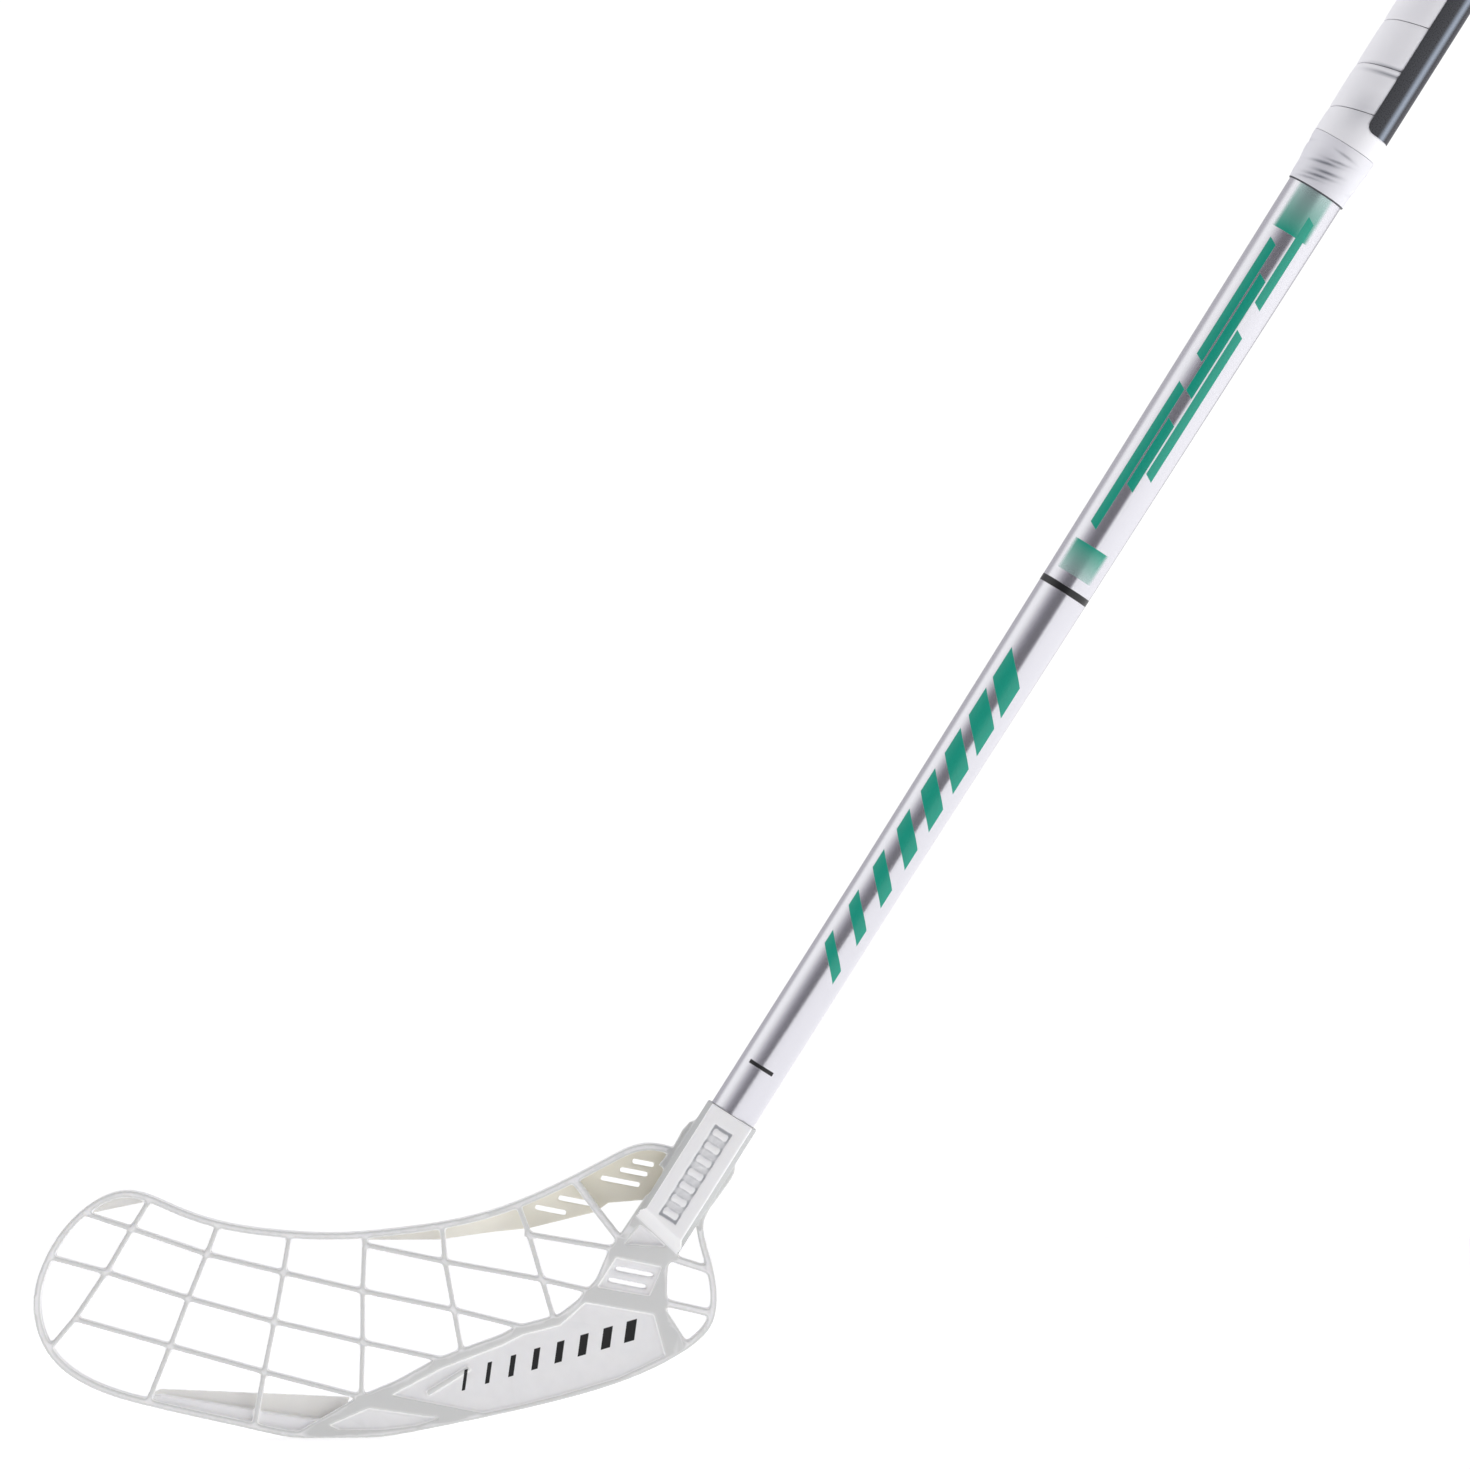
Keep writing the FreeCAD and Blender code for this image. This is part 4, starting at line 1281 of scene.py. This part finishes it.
    def build_plug(self) -> Object:
        """Revolve the butt plug from axis to axis: a shank with a lead-in under a domed head.

        Returns:
            The piece.
        """
        low = self.end - self.plug_shank
        shank = self.plug_shank_radius
        head = self.plug_radius
        crown = self.end + self.plug_height
        corners = [
            (0.0, low), (shank - self.plug_lead, low), (shank, low + 2 * self.plug_lead),
            (shank, self.end), (head, self.end), (head, self.end + self.plug_straight),
            (head - self.plug_dome, crown - self.plug_fall), (0.0, crown),
        ]
        corner_points = self.plug_corner_steps + 1
        line = rounded(corners, self.plug_lead, self.plug_corner_steps)
        line = np.vstack((corners[0], line[corner_points:-corner_points], corners[-1]))
        piece = turned_piece("butt_plug_cap", line, Wrap.COLUMNS, self.plug_segments)
        return settle(piece, POLYPROPYLENE.material(), "butt_plug")

    def build(self) -> list[Object]:
        """Build all the pieces of the grip."""
        return [self.build_tape(), self.build_band(), self.build_label(), self.build_plug()]


@dataclass(frozen=True)
class Softbox:
    """A square lamp: its name, place, side in metres and power in watts."""

    name: str
    place: tuple[float, float, float]
    side: float
    power: float


@dataclass
class Studio:
    """Floor, soft light and camera, in metres."""

    floor_half: float = 1.6
    floor_lines: int = 9
    floor_drop: float = 0.0002
    eye: tuple[float, float, float] = (0.1796, -4.0, 0.3052)
    lens: float = 225.3
    sensor: float = 36.0
    farthest: float = 100.0
    shadow_tint: str = "#cfc8dc"
    white_level: float = 1.05
    dark_level: float = 0.16
    left_level: float = 1.25
    left_start: float = -0.05
    left_end: float = -1.05
    left_power: float = 2.2
    right_level: float = 1.15
    right_start: float = 0.2
    right_end: float = 0.45
    left_flag: float = 0.6
    right_flag: float = 0.65
    flag_half: float = 0.5
    backdrop: tuple[float, float] = (0.95, 0.985)
    beside: tuple[float, float] = (0.15, 0.6)
    aim: tuple[float, float, float] = (0.25, 0.0, 0.35)
    softboxes: tuple[Softbox, ...] = (
        Softbox("left_softbox", (-2.8, 0.2, 2.4), 2.6, 30.0),
        Softbox("front_softbox", (2.4, -1.8, 1.2), 2.0, 9.0),
        Softbox("right_softbox", (2.8, 0.3, 0.9), 1.6, 18.0),
        Softbox("top_softbox", (0.3, 0.4, 3.2), 2.5, 16.0),
    )

    def build_floor(self) -> None:
        """Lay a flat square grid under the sole: points at even steps of x and y."""
        line = np.linspace(-self.floor_half, self.floor_half, self.floor_lines)
        x, y = np.meshgrid(line, line)
        points = np.stack((x, y, np.full_like(x, -self.floor_drop)), axis=-1)
        quads = grid_quads(self.floor_lines, self.floor_lines, Wrap.NONE)
        floor = new_piece("studio_floor", points, quads)
        dress(floor, OPAL_ACRYLIC.material())

    def build_world(self) -> None:
        """Surround by direction: white straight behind the stick, grey beside that, and towards the
        camera dark with a bright left and right, measured across the shaft."""
        world = bpy.data.worlds.new("studio_surround")
        bpy.context.scene.world = world
        world.use_nodes = True
        tree = world.node_tree
        tree.nodes.clear()
        way = add_node(tree, "TexCoord").outputs["Generated"]
        back = add_node(tree, "SeparateXYZ", None, {0: way}).outputs[1]
        lean = math.radians(SHAFT.lean)
        right = add_node(tree, "VectorMath", {"operation": "DOT_PRODUCT"}, {
            0: way, 1: (math.cos(lean), 0.0, -math.sin(lean))}).outputs["Value"]

        soft = {"interpolation_type": "SMOOTHSTEP"}
        left = add_node(tree, "MapRange", None, {
            "Value": right, "From Min": self.left_start, "From Max": self.left_end}).outputs[0]
        left = add_node(tree, "Math", {"operation": "POWER"}, {0: left, 1: self.left_power}).outputs[0]
        left = add_node(tree, "MapRange", None, {
            "Value": left, "To Min": self.dark_level, "To Max": self.left_level}).outputs[0]
        glow = add_node(tree, "MapRange", soft, {
            "Value": right, "From Min": self.right_start, "From Max": self.right_end,
            "To Min": 0.0, "To Max": self.right_level - self.dark_level}).outputs[0]
        front = add_node(tree, "Math", {"operation": "ADD"}, {0: left, 1: glow}).outputs[0]
        flag = add_node(tree, "MapRange", soft, {
            "Value": right, "From Min": -self.flag_half, "From Max": self.flag_half,
            "To Min": self.left_flag, "To Max": self.right_flag}).outputs[0]
        behind = add_node(tree, "MapRange", soft, {
            "Value": back, "From Min": self.backdrop[0], "From Max": self.backdrop[1],
            "To Min": flag, "To Max": self.white_level}).outputs[0]
        blend = add_node(tree, "MapRange", soft, {
            "Value": back, "From Min": self.beside[0], "From Max": self.beside[1]}).outputs[0]
        level = add_node(tree, "Mix", {"data_type": "FLOAT"}, {0: blend, 2: front, 3: behind}).outputs[0]
        colour = add_node(tree, "Mix", {"data_type": "RGBA"}, {
            "Factor": level, 6: linear(self.shadow_tint), 7: WHITE}).outputs[2]
        surround = add_node(tree, "Background", None, {"Color": colour, "Strength": level})
        add_node(tree, "OutputWorld", None, {"Surface": surround.outputs[0]})

    def build_lights(self) -> None:
        """Hang the softboxes so that they face the stick's middle."""
        for softbox in self.softboxes:
            lamp = bpy.data.lights.new(softbox.name, "AREA")
            lamp.shape = "SQUARE"
            lamp.size = softbox.side
            lamp.energy = softbox.power
            holder = put_in_scene(softbox.name, lamp)
            way = Vector(self.aim) - Vector(softbox.place)
            holder.location = softbox.place
            holder.visible_glossy = False
            holder.rotation_euler = way.to_track_quat("-Z", "Y").to_euler()

    def build_camera(self) -> None:
        """Set the camera square to the plane of blade and shaft."""
        lens = bpy.data.cameras.new("photo_camera")
        lens.lens = self.lens
        lens.sensor_width = self.sensor
        lens.clip_end = self.farthest
        camera = put_in_scene("photo_camera", lens)
        camera.location = self.eye
        camera.rotation_euler = (math.pi / 2, 0.0, 0.0)
        bpy.context.scene.camera = camera

    def build(self) -> None:
        """Build the studio."""
        bpy.context.scene.view_settings.view_transform = "Standard"
        self.build_floor()
        self.build_world()
        self.build_lights()
        self.build_camera()


def main() -> None:
    """Build the stick and its studio."""
    logging.basicConfig(level=logging.INFO, format="%(message)s")
    for assembly in (Blade(), Shaft(), Grip()):
        for piece in assembly.build():
            LOG.info("%s: %d faces", piece.name, len(piece.data.polygons))
    for node, finish in SOLID_FINISHES.items():
        dress(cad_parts[node], finish.material())
        LOG.info("%s: CAD solid in %s", node, finish.name)
    Studio().build()


if __name__ == "__main__":
    main()
